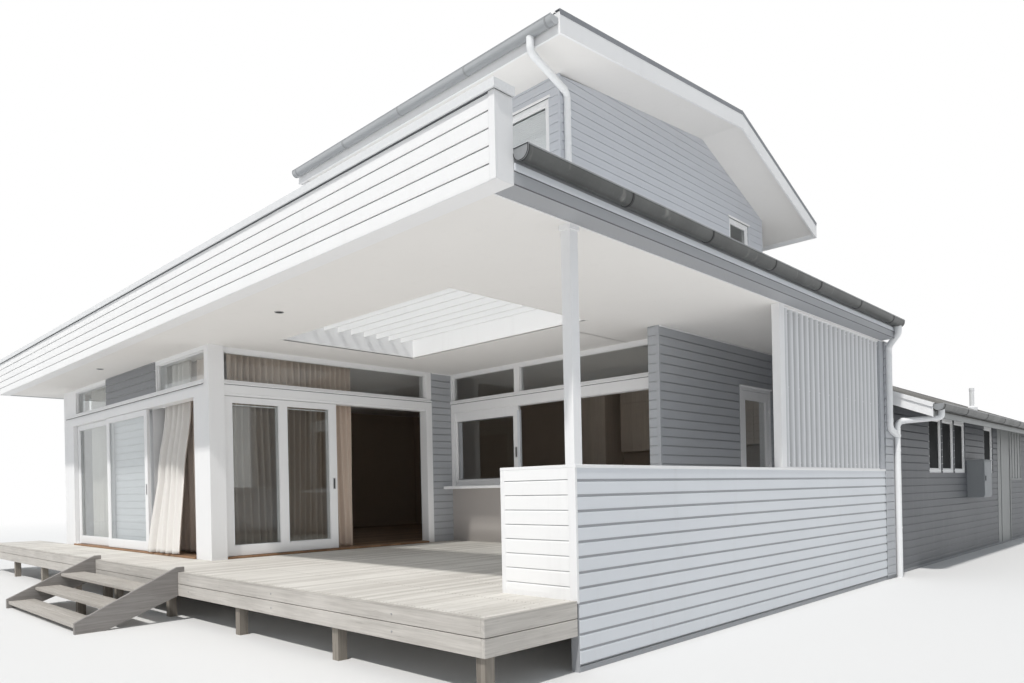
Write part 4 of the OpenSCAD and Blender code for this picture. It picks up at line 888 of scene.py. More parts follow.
# the slopes of the upper storey's gables, from their corners
ridgeTop = topOf("upper_right_gable")
frontTop = topOf("upper_right_gable", lambda c: abs(c.y - upRight.y0) < 0.01)
rearTop = topOf("upper_right_gable", lambda c: abs(c.y - upRight.y1) < 0.01)
upSlopes = ((frontTop.y, frontTop.z, (ridgeTop.z - frontTop.z) / (ridgeTop.y - frontTop.y)),
            (rearTop.y, rearTop.z, (ridgeTop.z - rearTop.z) / (rearTop.y - ridgeTop.y)))


# walls of lapped boards

def upperBoards():
    base = roofMain.z0 + 0.2
    rearEdge = rearTop.z - 0.05
    boards = {"base": upRight.z0, "depth": 0.006, "gap": 0.002}
    fields = []
    for side, wall in (("right", upRight.x1), ("left", upLeft.x0)):
        fields += cladFields(side, wall, (upFront.y0, upRear.y1), (base, ridgeTop.z), holes(0, wall),
                             upSlopes, **boards)
    for side, wall, face, top in (("front", upFront, upFront.y0, upFront.z1 - 0.012),
                                  ("back", upRear, upRear.y1, rearEdge)):
        fields += cladFields(side, face, wall.span(0), (base, top), holes(1, face), **boards)
    clad("upperBoards", fields, "upperBoards")
    corners = [((x, y, base), (x + 0.034, y + 0.034, top))
               for x in (upLeft.x0 - 0.018, upRight.x1 - 0.016)
               for y, top in ((upFront.y0 - 0.018, upFront.z1 - 0.01), (upRear.y1 - 0.016, rearEdge))]
    blocks("upperCorners", corners, "upperBoards", 0.002)
    # lead apron where the walls meet the low roof
    left, right, near, far, lap = upLeft.x0, upRight.x1, upFront.y0, upRear.y1, 0.024
    apron = [((left - lap, near - lap, base - 0.16), (right + lap, near, base)),
             ((right, near, base - 0.2), (right + lap, far, base)),
             ((left - lap, near, base - 0.16), (left, far, base))]
    blocks("upperApron", apron, "edging")


upperBoards()
print("upper boards made")


def mainBoards():
    # the passage, the end wall and the ends of the grey walls
    rise = (deckTop, ceilingZ)
    hole = (doorFrame.y0, doorFrame.y1, deckTop, doorFrame.z1)
    fields = cladFields("right", greyBack.x1, (greyFront.y0 + 0.03, endWall.y0), rise, [hole])
    fields += cladFields("front", endWall.y0, (greyBack.x1 + 0.016, edgeX - 0.095), rise)
    fields += cladFields("front", greyFront.y0, (greyFront.x0, greyFront.x1 - 0.03), rise,
                         thick=0.008, depth=0.005)
    fields += cladFields("right", livingEnd.x1, livingEnd.span(1), rise)
    clad("passageBoards", fields, "boards")
    # the boards between the two high panes over the front doors, and those of the bay
    panes = sorted((b.x0, b.x1) for b in clereGlass if b.thinAxis() == 1 and b.y0 < frontY + 0.1)
    fields = cladFields("front", frontY, (panes[0][1] + 0.03, panes[1][0] - 0.03),
                        (clereGlass[0].z0, ceilingZ), thick=0.010)
    clad("highBoards", fields, "shadeBoards")
    corner = [((greyFront.x1 - 0.03, greyFront.y0 - 0.009, deckTop),
               (greyFront.x1 + 0.017, greyFront.y0 + 0.03, ceilingZ))]
    blocks("passageCorner", corner, "boards", 0.002)
    fields = cladFields("front", bayWall.y0, bayWall.span(0), bayWall.span(2), thick=0.010)
    clad("bayBoards", fields, "bayBoards")
    far = endWall.y1
    clad("endBoards", cladFields("right", edgeX, (screen.y1, far - 0.03), (0.06, ceilingZ)), "boards")
    blocks("endCorner", [((edgeX - 0.02, far - 0.03, 0.05), (edgeX + 0.018, far + 0.008, ceilingZ))],
           "boards", 0.002)
    cuts = [(b.y0 - 0.02, b.y1 + 0.02, b.z0 - 0.02, b.z1 + 0.02)
            for b in groundGlass if b.x1 < leftWall.x1 + 0.05]
    fields = cladFields("left", leftWall.x0, (leftWall.y0 + 0.03, leftWall.y1), (0.05, ceilingZ), cuts)
    fields += cladFields("back", rearWall.y1, (leftWall.x0, wingLeft.x0), (0.05, ceilingZ),
                         holes(1, rearWall.y1))
    clad("mainBoards", fields, "boards")
    x, far = leftWall.x0, leftWall.y1
    corners = [((x - 0.018, frontY - 0.002, 0.04), (leftWall.x1 - 0.001, leftWall.y0 + 0.03, ceilingZ)),
               ((x - 0.018, far - 0.02, 0.04), (x + 0.02, far + 0.018, ceilingZ))]
    blocks("mainCorners", corners, "white", 0.002)
    # return of the wall behind the boarded bay, seen through the open doorway
    lining = [((bayWall.x1 - 0.30, bayWall.y0 - 0.012, bayWall.z0),
               (bayWall.x1 + 0.02, bayWall.y1 + 0.24, bayWall.z1 + 0.03))]
    blocks("bayLining", lining, "white", 0.004)


mainBoards()


# boarded end of the wing: upright boards to the ground, then a pale panel with battens over lapped boards
wingPanel = {"start": 15.75, "boards": 16.05, "panel": 17.02, "end": 18.22, "foot": 1.46, "thick": 0.022,
             "board": 0.16, "wide": 0.15, "gap": 0.004, "batten": 0.045, "battenStep": 0.31,
             "wallFoot": 0.05}
wingWallTop = wingRight.z1 - 0.08
wingTilt = math.radians(22.5)
wingLaps = {"pitch": cover["wing"], "base": 0.0}


def wingBoards():
    rise = (wingPanel["wallFoot"], wingWallTop)
    panel = (wingPanel["start"], wingPanel["end"], 0.0, wingWallTop + 1.0)
    fields = cladFields("right", wingRight.x1, wingRight.span(1), rise,
                        sorted(holes(0, wingRight.x1) + [panel]), **wingLaps)
    fields += cladFields("left", wingLeft.x0, wingLeft.span(1), rise, holes(0, wingLeft.x0), **wingLaps)
    low = topOf("wing_left_wall", lambda c: abs(c.x - wingLeft.x0) < 0.01).z
    slopes = [(x, low, math.tan(wingTilt)) for x in (wingLeft.x0, wingRight.x1)]
    fields += cladFields("back", wingEnd.y1, (wingLeft.x0, wingRight.x1),
                         (wingPanel["wallFoot"], wingEnd.z1), holes(1, wingEnd.y1), slopes, **wingLaps)
    clad("wingBoards", fields, "wingBoards")
    corners = [((x, wingEnd.y1 - 0.02, 0.04), (x + 0.038, wingEnd.y1 + 0.018, wingWallTop))
               for x in (wingLeft.x0 - 0.018, wingRight.x1 - 0.02)]
    blocks("wingCorners", corners, "wingBoards", 0.002)


def wingPanels():
    s = wingPanel
    face, top, foot, thick = wingRight.x1, wingWallTop, s["wallFoot"], s["thick"]

    def upright(start, end, proud):
        return (face, start, foot), (face + proud, end, top)

    uprights = [upright(s["start"] + i * s["wide"], s["start"] + (i + 1) * s["wide"] - s["gap"], thick)
                for i in range(2)]
    for i in range(int((s["panel"] - s["boards"]) / s["board"])):
        y = s["boards"] + i * s["board"]
        uprights.append(upright(y, y + s["board"] - s["gap"], thick - 0.006))
    uprights += [upright(s["boards"] - 0.01, s["boards"] + 0.05, thick + 0.012),
                 upright(s["panel"] - 0.05, s["panel"] + 0.01, thick + 0.012)]
    blocks("wingUprights", uprights, "wingPale")
    near = s["panel"] + 0.01
    panel = [((face, near, s["foot"]), (face + 0.012, s["end"], top)),
             ((face, near, s["foot"] - 0.03), (face + 0.032, s["end"] + 0.02, s["foot"]))]
    at = s["panel"] + 0.25
    while at < s["end"]:
        panel.append(((face + 0.012, at, s["foot"]), (face + 0.024, at + s["batten"], top)))
        at += s["battenStep"]
    blocks("wingPanel", panel, "wingPale")
    low = cladFields("right", face, (near, s["end"]), (foot, s["foot"] - 0.03), **wingLaps)
    clad("wingLowBoards", low, "wingBoards")


wingBoards()
wingPanels()
print("wall boards made")


# half wall along the verandah, its cap and its corner boards

railing = {"thick": 0.095, "cap": 0.026, "over": 0.008, "board": 0.016, "leftTrim": 0.05, "rightTrim": 0.075,
           "topBoard": 0.088}


def verandahRail():
    s = railing
    thick, board, over = s["thick"], s["board"], s["over"]
    left, start, end = halfWall.x0 + over, halfWall.y0 + over, screen.y1
    inner, back = edgeX - thick, start + thick
    crown = halfWall.z1
    top = crown - s["cap"]
    # the core shows in the slots between the boards; its dark eave grey is painted shade there
    core = [((inner + 0.012, start + board, 0.0), (edgeX - board + 0.007, end, top)),
            ((left + 0.002, start + board, deckTop - 0.03), (edgeX - board, back - 0.012, top))]
    stands = {"replaces": ["half_wall"]}
    blocks("railCore", core, "eave", 0.0, **stands)
    boards = {"pitch": cover["half"], "base": top - s["topBoard"]}
    fields = cladFields("right", edgeX - board, (start + 0.027, end), (0.05, top), **boards, slope=0.008,
                        depth=0.009, gap=0.020)
    fields += cladFields("left", inner + 0.012, (back, endWall.y0), (deckTop, top), **boards, thick=0.012)
    clad("railBoards", fields, "paleBoards", **stands)
    fields = cladFields("front", start + board, (left + s["leftTrim"], edgeX - s["rightTrim"]),
                        (deckTop - 0.02, top), **boards, slope=0.012, depth=0.007, gap=0.004)
    fields += cladFields("back", back - 0.012, (left + 0.002, inner), (deckTop, top), **boards, thick=0.012)
    clad("railFrontBoards", fields, "fascia", **stands)
    trims = [((left, start, deckTop - 0.02), (left + s["leftTrim"], start + 0.03, top)),
             ((left, start + 0.03, deckTop), (left + 0.02, back - 0.001, top)),
             ((edgeX - s["rightTrim"], start - 0.001, deckTop - 0.02), (edgeX + 0.001, start + 0.027, top))]
    blocks("railTrims", trims, "white", 0.0025, **stands)
    caps = [((inner - over, start - 0.001, top), (edgeX + over, end, crown)),
            ((left - 0.001, start - 0.001, top), (inner - over - 0.0005, back + over, crown))]
    blocks("railCap", caps, "white", slotName="pale_board", **stands)


verandahRail()

# fascia of flush boards with a folded metal cap

fasciaSpec = {"board": 0.014, "trim": 0.06, "cap": 0.06, "capOver": 0.024, "sheet": 0.004, "joint": 2.4}


def frontFascia():
    s = fasciaSpec
    board, trim, cap, sheet, over = s["board"], s["trim"], s["cap"], s["sheet"], s["capOver"]
    x0, x1, y0, y1 = fascia.x0 + 0.014, fascia.x1 - 0.014, fascia.y0 + 0.014, fascia.y1
    crown = fascia.z1
    top = crown - cap
    stands = {"replaces": ["front_fascia"]}
    # the core shows only in the slots between the fascia boards; its darker grey is painted shade there
    core = [((x0 + board, y0 + board, ceilingZ), (x1 - board, y1, top)),
            ((x0, y0, top), (x1, y1, crown - sheet))]
    blocks("fasciaCore", core, "grey", 0.0, **stands)
    fields = cladFields("front", y0 + board, (x0 + trim, x1 - trim), (ceilingZ, top), pitch=cover["fascia"],
                        base=ceilingZ, thick=0.013, slope=0.006, depth=0.007, gap=0.007)
    clad("fasciaBoards", fields, "fascia", **stands)
    trims = [((x1 - trim + 0.002, y0 - 0.002, ceilingZ), (x1 + 0.001, y0 + board, top)),
             ((x0 - 0.001, y0 - 0.002, ceilingZ), (x0 + trim - 0.002, y0 + board, top)),
             ((x1 - board, y0 + board, ceilingZ), (x1, y1, top)),
             ((x0, y0 + board, ceilingZ), (x0 + board, y1, top)),
             ((x0, y0 + 0.002, ceilingZ - 0.004), (x1, y1, ceilingZ + 0.002))]
    blocks("fasciaTrims", trims, "white", 0.002, **stands)
    work = bmesh.new()
    line = [(x0 - over, y1, top), (x0 - over, y0 - over, top), (x1 + over, y0 - over, top),
            (x1 + over, y1, top)]
    fold = [(0, -0.004), (0, cap), (-0.11, cap + 0.003), (-0.11, cap - 0.001), (-sheet, cap - sheet),
            (-sheet, 0.0), (-0.014, -0.001), (-0.014, -0.004)]
    sweep(work, line, fold)
    asObject("fasciaCap", work, "cap", **stands)
    joints = []
    at = x1 - s["joint"]
    while at > x0:
        joints.append(((at, y0 - over - 0.0012, top - 0.003), (at + 0.05, y0 - over + 0.001, crown + 0.001)))
        at -= s["joint"]
    blocks("capJoints", joints, "cap", 0.0005)


frontFascia()


def sideEave():
    x, y0, y1, foot = eave.x1, eave.y0, eave.y1, eave.z0
    blocks("eaveFace", [((x, y0, foot + 0.009), (x + 0.006, y1, foot + 0.088))], "eave", 0.0015)
    # dark strips in the eave face's joints: painted shade
    lines = [((x, y0, foot), (x + 0.002, y1, foot + 0.010)),
             ((x, y0, foot + 0.087), (x + 0.001, y1, foot + 0.098))]
    blocks("eaveGapShadows", lines, "gap", 0.0)
    blocks("eaveTrim", [((x, y0, foot + 0.097), (x + 0.012, y1 + 0.002, foot + 0.148))], "pale")
    blocks("eaveBead", [((edgeX + 0.001, y0, ceilingZ - 0.010), (edgeX + 0.014, y1, ceilingZ))], "white",
           0.003)


sideEave()
print("rail, fascia and eave made")


# deck boards, rim and steps

deckSpec = {"thick": 0.032, "gap": 0.0035, "edge": 0.035, "drop": 0.272, "split": 0.136, "head": 0.0042,
            "headRise": 0.0016, "longest": 4.0}
deckFront = deckBox.y0 + deckSpec["edge"]
railFront = halfWall.y0 + railing["over"]


def deckRegions():
    # runs of board columns that end at the same place, counted from the right edge: first, how many, end
    first, last = edgeX - deckSpec["edge"], deckBox.x0 + deckSpec["edge"]
    columns = round((first - last) / cover["deck"])
    pitch = (first - last) / columns
    ends = ((edgeX - railing["thick"], railFront), (greyBack.x1, endWall.y0), (cornerPost.x1, livingEnd.y1),
            (deckBox.x0, cornerPost.y0))
    runs = []
    for i in range(columns):
        middle = first - (i + 0.5) * pitch
        end = next(y for x, y in ends if middle > x)
        if runs and runs[-1][2] == end:
            runs[-1][1] += 1
        else:
            runs.append([i, 1, end])
    return first, pitch, runs


def deckPieces():
    first, pitch, runs = deckRegions()
    s, front = deckSpec, deckFront
    boards, screws = [], []
    for start, count, end in runs:
        low = first - (start + count) * pitch
        jointed = end - front > 3
        boards.append(runTree(planks, {
            "Count": count, "Pitch": pitch, "Width": pitch - s["gap"], "Thick": s["thick"], "Round": 0.0025,
            "Start": front, "Finish": end, "Joint": front + (end - front) * 0.32 if jointed else end,
            "Stagger": 0.9 if jointed else 0.0, "Seed": start + 5, "Place": (low, 0.0, deckTop)}))
        rows = max(3, int((end - front) / 0.6))
        for side in (-0.028, 0.028):
            screws.append(runTree(heads, {
                "Columns": count, "Rows": rows, "Step X": pitch, "Step Y": (end - front - 0.06) / (rows - 1),
                "Radius": s["head"], "Height": s["headRise"], "Sides": 6,
                "Place": (low + pitch / 2 + side, front + 0.03, deckTop + 0.0002)}))
    clad("deckBoards", boards, "deckBoards", replaces=["deck"], smooth=40)
    clad("deckScrews", screws, "stumps")
    low, high = deckBox
    edge, split = s["edge"], deckTop - s["split"]
    rim, sideRim = [], []
    for z0, z1 in ((deckTop - s["drop"], split - 0.003), (split + 0.003, deckTop)):
        at = high.x - edge - 0.0005
        while at > low.x:
            length = min(s["longest"], at - low.x)
            rim.append(((at - length + 0.0015, low.y, z0), (at, low.y + edge, z1)))
            at -= length
        sideRim += [((high.x - edge, low.y, z0), (high.x, railFront - 0.002, z1)),
                    ((low.x, front + 0.0005, z0), (low.x + edge, cornerPost.y0, z1))]
    blocks("deckRim", rim, "deckEdge", replaces=["deck"])
    blocks("deckSideRim", sideRim, "sideEdge", replaces=["deck"])
    bolts = [runTree(heads, {"Columns": 8, "Rows": 1, "Step X": 1.9, "Radius": 0.009, "Height": 0.005,
                             "Rotation": (math.pi / 2, 0.0, 0.0),
                             "Place": (low.x + 0.35, low.y - 0.001, deckTop - drop)})
             for drop in (0.07, 0.205)]
    clad("deckBolts", bolts, "steel", slotName="deck_timber", smooth=30)


deckPieces()


def stepPieces():
    # each tread is two boards, with screws at both ends and the middle
    treads, screws = [], []
    for low, high in solidBoxes("step_treads"):
        middle = (low.y + high.y) / 2
        treads += [(low, (high.x, middle - 0.002, high.z)), ((low.x, middle + 0.002, low.z), high)]
        screws.append(runTree(heads, {"Columns": 3, "Rows": 4, "Step X": (high.x - low.x - 0.08) / 2,
                                      "Step Y": 0.075, "Radius": 0.005, "Height": deckSpec["headRise"],
                                      "Sides": 6, "Place": (low.x + 0.04, low.y + 0.037, high.z + 0.0002)}))
    blocks("stepTreads", treads, "steps", 0.005, replaces=["step_treads"])
    clad("stepScrews", screws, "stumps")
    low, high = box("step_stringers")
    laps = [((x, high.y - 0.004, deckTop + 0.0005), (x + 0.045, high.y + 0.075, high.z - 0.002))
            for x in (low.x, high.x - 0.045)]
    blocks("stringerLaps", laps, "stringers")


stepPieces()
print("deck and steps made")


# corrugated screen above the half wall

screenSpec = {"pitch": 0.151, "waves": 21, "depth": 0.042, "thick": 0.003, "post": 0.17, "first": 0.312}


def screenPieces():
    s = screenSpec
    low, high = screen
    y1 = low.y + s["first"]
    y2 = y1 + s["waves"] * s["pitch"]
    inside, middle, half = edgeX - railing["thick"], edgeX - railing["thick"] / 2, 0.026
    stands = {"replaces": ["corrugated_screen"]}
    sheet = runTree(wavedSheet, {"Run": high.z - low.z, "Width": y2 - y1, "Pitch": s["pitch"],
                                 "Depth": s["depth"], "Thick": s["thick"], "Steps": 16,
                                 "Rotation": (0.0, -math.pi / 2, 0.0),
                                 "Place": (middle, y1, low.z)})
    asObject("screenSheet", sheet, "sheet", smooth=50, **stands)
    trims = [((inside, low.y + s["post"], low.z), (edgeX, y1 - 0.012, high.z)),
             ((inside + 0.006, y1 - 0.012, low.z), (edgeX - 0.012, y1 + 0.002, high.z)),
             ((middle - half, y1, low.z), (middle + half, y2, low.z + 0.014)),
             ((middle - half, y1, high.z - 0.02), (middle + half, y2, high.z))]
    blocks("screenEnd", [((inside, y2 + 0.001, low.z), (edgeX, high.y, high.z))], "boards", **stands)
    blocks("screenTrims", trims, "white", **stands)
    screws = [runTree(heads, {"Columns": 1, "Rows": 11, "Step Y": s["pitch"] * 2, "Radius": 0.006,
                              "Height": 0.005, "Rotation": (0.0, math.pi / 2, 0.0),
                              "Place": (middle + s["depth"] / 2 + s["thick"], y1 + s["pitch"] * 0.75, z)})
              for z in (low.z + 0.06, (low.z + high.z) / 2, high.z - 0.08)]
    clad("screenScrews", screws, "white", smooth=30)


screenPieces()


# beads and frames round the glass

def addRing(work, axis, plane, span, rise, width):
    # four mitre-lapped strips round a rectangle
    (a0, a1), (z0, z1) = span, rise
    a2, a3 = a0 + width, a1 - width
    for part in (((a0, a2), (z0, z1)), ((a3, a1), (z0, z1)), ((a2, a3), (z0, z0 + width)),
                 ((a2, a3), (z1 - width, z1))):
        addBlock(work, *solidBar(axis, plane, *part), 0.002)


def addBeads(work, pane, width=0.014, depth=0.012):
    # a ring on both faces of a pane
    axis = pane.thinAxis()
    low, high = pane.span(axis)
    for plane in ((low - depth, low), (high, high + depth)):
        addRing(work, axis, plane, pane.span(1 - axis), pane.span(2), width)


leaves = {"frontLeft": ("front_left", "front_left_door"), "frontRight": ("front_right", "front_right_door"),
          "sideLeaf": ("side_slide", "side_sliding_door"), "hingedDoor": ("hinged_door", "passage_door")}


def glassBeads():
    # beads of the moving leaves, then slim frames round the high panes and beads on the other low glass
    for name, (stem, body) in leaves.items():
        work = bmesh.new()
        for pane in solidBoxes(stem + "_glass"):
            addBeads(work, pane)
        asObject(name + "Beads", work, "white", body=body)
    work = bmesh.new()
    for pane in groundGlass:
        high = pane in clereGlass
        addBeads(work, pane, 0.012 if high else 0.014, 0.030 if high or pane.x0 < leftWall.x1 else 0.012)
    asObject("clerestoryFrames", work, "white")


glassBeads()

pulls = {"width": 0.042, "height": 0.17, "proud": 0.004, "rim": 0.0125, "front": 1.0, "side": 1.03,
         "in": 0.055}


def addPulls(name, axis, faces, middle, z, **more):
    # a flush pull on each face and the way it looks: a thin plate with a dark slot in it
    for kind, mat, rim, proud in (("Pull", "steel", 0.0, pulls["proud"]),
                                  ("Slot", "black", pulls["rim"], pulls["proud"] + 0.0008)):
        work = bmesh.new()
        wide, tall = pulls["width"] / 2 - rim, pulls["height"] / 2 - rim
        for face, outward in faces:
            low, high = solidBar(axis, sorted((face, face + outward * proud)),
                                 (middle - wide, middle + wide), (z - tall, z + tall))
            addBlock(work, low, high, 0.0012)
        asObject(name + kind, work, mat, **more)


def pullPieces():
    # pulls of the three sliding leaves; the hinged one has a lever
    for name, (stem, body) in leaves.items():
        if name == "hingedDoor":
            continue
        leaf = box(stem + "_leaf")
        if name == "sideLeaf":
            addPulls(name, 0, [(leaf.x1, 1.0), (leaf.x0, -1.0)], leaf.y1 - pulls["in"],
                     deckTop + pulls["side"], body=body)
        else:
            # the front leaves pass too close to each other and to the boarded bay for a pull behind
            addPulls(name, 1, [(leaf.y0, -1.0)], leaf.x1 - pulls["in"], deckTop + pulls["front"], body=body)


pullPieces()

lever = {"height": 1.02, "rose": 0.026, "reach": 0.055, "length": 0.12, "grip": 0.0095, "lock": 0.018,
         "lockDrop": 0.09, "in": 0.055, "leafHalf": 0.02}


def leverHandle():
    # a lever on a round rose over a round lock, on both faces of the hinged leaf
    s = lever
    pane = box("hinged_door_glass")
    y, z = box("hinged_door_leaf").y0 + s["in"], deckTop + s["height"]
    work = bmesh.new()
    for way in (1.0, -1.0):
        face = (pane.x0 + pane.x1) / 2 + way * s["leafHalf"]
        out = face + way * s["reach"]
        addTube(work, [(face, y, z), (face + way * 0.006, y, z)], s["rose"], 24)
        addTube(work, [(face, y, z - s["lockDrop"]), (face + way * 0.005, y, z - s["lockDrop"])], s["lock"],
                20)
        addTube(work, rounded([(face, y, z), (out, y, z), (out, y + s["length"], z - 0.004)], 0.02),
                s["grip"], 12)
    asObject("leverHandle", work, "steel", body="passage_door", slotName="box_metal", smooth=40)


leverHandle()


def thresholds():
    rise, high = 0.028, 0.024
    sills = [((cornerPost.x0 - 5.46, frontY - 0.034, deckTop),
              (cornerPost.x0, frontY - 0.0005, deckTop + rise)),
             ((sideFrame.x1 - 0.018, sideFrame.y0, deckTop),
              (sideFrame.x1 + 0.016, sideFrame.y1 - 0.1, deckTop + rise)),
             ((doorFrame.x1 - 0.045, doorFrame.y0 + 0.03, deckTop),
              (doorFrame.x1 + 0.03, doorFrame.y1 - 0.03, deckTop + high))]
    blocks("thresholds", sills, "sill", 0.004)


thresholds()


def openingTrims():
    # casings that lap the boards beside the side doors, the servery and the hinged door
    x, near, far = sideFrame.x1 - 0.018, sideFrame.y0, sideFrame.y1
    foot = clereGlass[0].z0
    top = foot - 0.055
    servery, left, right = kitchenFrames.y1 - 0.11, kitchenFrames.x0 + 0.02, kitchenFrames.x1
    trims = [((x, far - 0.10, deckTop), (x + 0.022, far + 0.022, top - 0.12)),
             ((x, near, top - 0.12), (x + 0.022, far + 0.022, top - 0.002)),
             ((x, far - 0.085, top + 0.056), (x + 0.018, far + 0.016, ceilingZ - 0.001)),
             ((left, servery - 0.016, top - 0.17), (right, servery, top - 0.01)),
             ((left, servery - 0.016, deckTop + 0.956), (left + 0.08, servery, top - 0.17))]
    blocks("openingTrims", trims, "white")
    # ledges under the high panes, and dark strips below them: painted shadow lines
    bay, post, face = leftWall.x1 + 0.02, cornerPost.x0 + 0.36, frontFrame.y0
    ledges = [((bay, face - 0.024, foot - 0.060), (post, face + 0.001, foot - 0.038)),
              ((x, near, foot - 0.054), (x + 0.040, far + 0.020, foot - 0.034)),
              ((left, servery - 0.032, foot - 0.064), (right, servery + 0.002, foot - 0.042))]
    blocks("highLedges", ledges, "white")
    joints = [((bay, face - 0.002, foot - 0.070), (post, face + 0.001, foot - 0.059)),
              ((x, near, foot - 0.063), (x + 0.024, far + 0.018, foot - 0.053)),
              ((left, servery - 0.018, foot - 0.074), (right, servery + 0.002, foot - 0.063))]
    blocks("ledgeShadows", joints, "gap", 0.0, slotName="white_trim")
    low, high = doorFrame
    drip = [((greyBack.x1, low.y - 0.01, high.z), (high.x + 0.012, high.y + 0.01, high.z + 0.018))]
    blocks("doorDrip", drip, "white")


openingTrims()
print("doors made")


# kitchen seen through its wide opening: cupboard fronts, bench top, splash back and one sliding sash

kitchen = {"tall": 0.74, "tallSplit": 2.72, "bench": 1.46, "drawer": 0.24, "overhead": 2.16,
           "overheadIn": 0.98, "topRow": 0.35, "plinth": 0.10, "front": 0.018, "gap": 0.004, "top": 0.03,
           "sashBehind": 5.2}


def kitchenPieces():
    s = kitchen
    low, high = box("kitchen_cupboards")
    tall, inner, bench, gap = low.x + s["tall"], low.x + s["overheadIn"], s["bench"], s["gap"]
    foot, back, drawer, split = low.z + s["plinth"], low.y + 0.2, bench - s["drawer"], high.z - s["topRow"]
    fronts = []
    # each row of doors: from, to, how many, face, foot and top
    for x0, x1, count, face, z0, z1 in (
            (low.x + 0.01, tall, 1, low.y, foot, s["tallSplit"]),
            (low.x + 0.01, tall, 1, low.y, s["tallSplit"], high.z),
            (tall, high.x, 6, low.y, foot, drawer), (tall, high.x, 6, low.y, drawer, bench - s["top"]),
            (inner, high.x, 5, back, s["overhead"], split), (inner, high.x, 5, back, split, high.z)):
        width = (x1 - x0) / count
        fronts += [((x0 + i * width + gap / 2, face - s["front"], z0 + gap),
                    (x0 + (i + 1) * width - gap / 2, face, z1 - gap)) for i in range(count)]
    blocks("cupboardFronts", fronts, "cupboard", 0.0015)
    right, far, top = high.x - 0.002, high.y - 0.002, bench + s["top"]
    blocks("benchTop", [((tall + 0.002, low.y - 0.03, bench), (right, far, top))], "pale")
    # the splash back under the overhead cupboards takes the lining's dark tone: painted shade beneath them
    blocks("splashBack", [((inner, high.y - 0.016, top), (right, far, s["overhead"]))], "lining", 0.001)
    # sash beads round the dark pane, its pull, and the second strip of the track
    pane = next(b for b in groundGlass if b.y0 > s["sashBehind"] and b.z0 < 2.0)
    (x0, y0, z0), (x1, y1, z1) = pane
    work = bmesh.new()
    addBeads(work, pane)
    asObject("sashBeads", work, "white")
    strip = x1 + 0.115
    track = [((strip, y0 - 0.05, z0 - 0.09), (strip + 0.055, y0 - 0.005, z1 + 0.08))]
    blocks("sashTrack", track, "pale", 0.002, slotName="white_trim")
    # a grey strip on the white stile stands for its reveal in shade: painted shade
    stile = [((x0 + 0.012, y0 - 0.010, z0 + 0.012), (x0 + 0.10, y0 - 0.001, z1 - 0.012))]
    blocks("sashStile", stile, "eave", 0.002, slotName="white_trim")
    addPulls("sash", 1, [(kitchenFrames.y1 - 0.085, -1.0)], x1 + 0.06, z0 + 0.42)


kitchenPieces()

# skylight cover bead, downlights and the beads where the ceiling meets the walls

ceilingSpec = {"bead": 0.018, "drop": 0.006, "lights": ((-9.16, 0.40), (-3.95, 0.665)), "lightRim": 0.052,
               "lightHole": 0.040}


def ceilingPieces():
    bead, drop, rimR, hole = (ceilingSpec[key] for key in ("bead", "drop", "lightRim", "lightHole"))
    z = ceilingZ
    (x0, x1), (y0, y1) = ((low + 0.02, high - 0.02) for low, high in (wellBox.span(0), wellBox.span(1)))
    left, right, foot, top = x0 - bead, x1 + bead, z - drop, z + 0.012
    beads = [((left, y0 - bead, foot), (right, y0, top)), ((left, y1, foot), (right, y1 + bead, top)),
             ((left, y0, foot), (x0, y1, top)), ((x1, y0, foot), (right, y1, top))]
    blocks("skylightBead", beads, "ceiling", 0.002)
    rim, lamp = bmesh.new(), bmesh.new()
    for centre in ceilingSpec["lights"]:
        addDisc(rim, centre, (hole, rimR - 0.004, rimR, rimR, hole, hole),
                (z - 0.005, z - 0.006, z - 0.003, z, z, z - 0.005))
        addDisc(lamp, centre, (0, hole - 0.004, hole, hole, 0), (z - 0.001, z - 0.001, z - 0.0025, z, z))
    asObject("downlightRims", meshFrom(rim, "downlightRims", True), "steel", smooth=30)
    asObject("downlightLamps", meshFrom(lamp, "downlightLamps", True), "black", smooth=30)
    x, cove = greyFront.x1 + 0.016, z - 0.018
    coves = [((x, greyFront.y0, cove), (x + 0.016, endWall.y0, z)),
             ((x, endWall.y0 - 0.032, cove), (edgeX - 0.1, endWall.y0 - 0.016, z)),
             ((livingEnd.x1 + 0.016, livingEnd.y0 + 0.03, cove), (livingEnd.x1 + 0.03, livingEnd.y1, z))]
    blocks("ceilingBeads", coves, "white", 0.002)


ceilingPieces()
print("kitchen and ceiling made")


# windows of the upper storey and the wing: sills, heads, blinds and screens

windowSpec = {"sill": 0.032, "sillOut": 0.045, "head": 0.03, "headOut": 0.03, "slimOut": 0.012,
              "past": 0.035, "frame": 0.06, "slat": 0.026, "slatGap": 0.0035, "slatThick": 0.004,
              "reveal": 0.07}


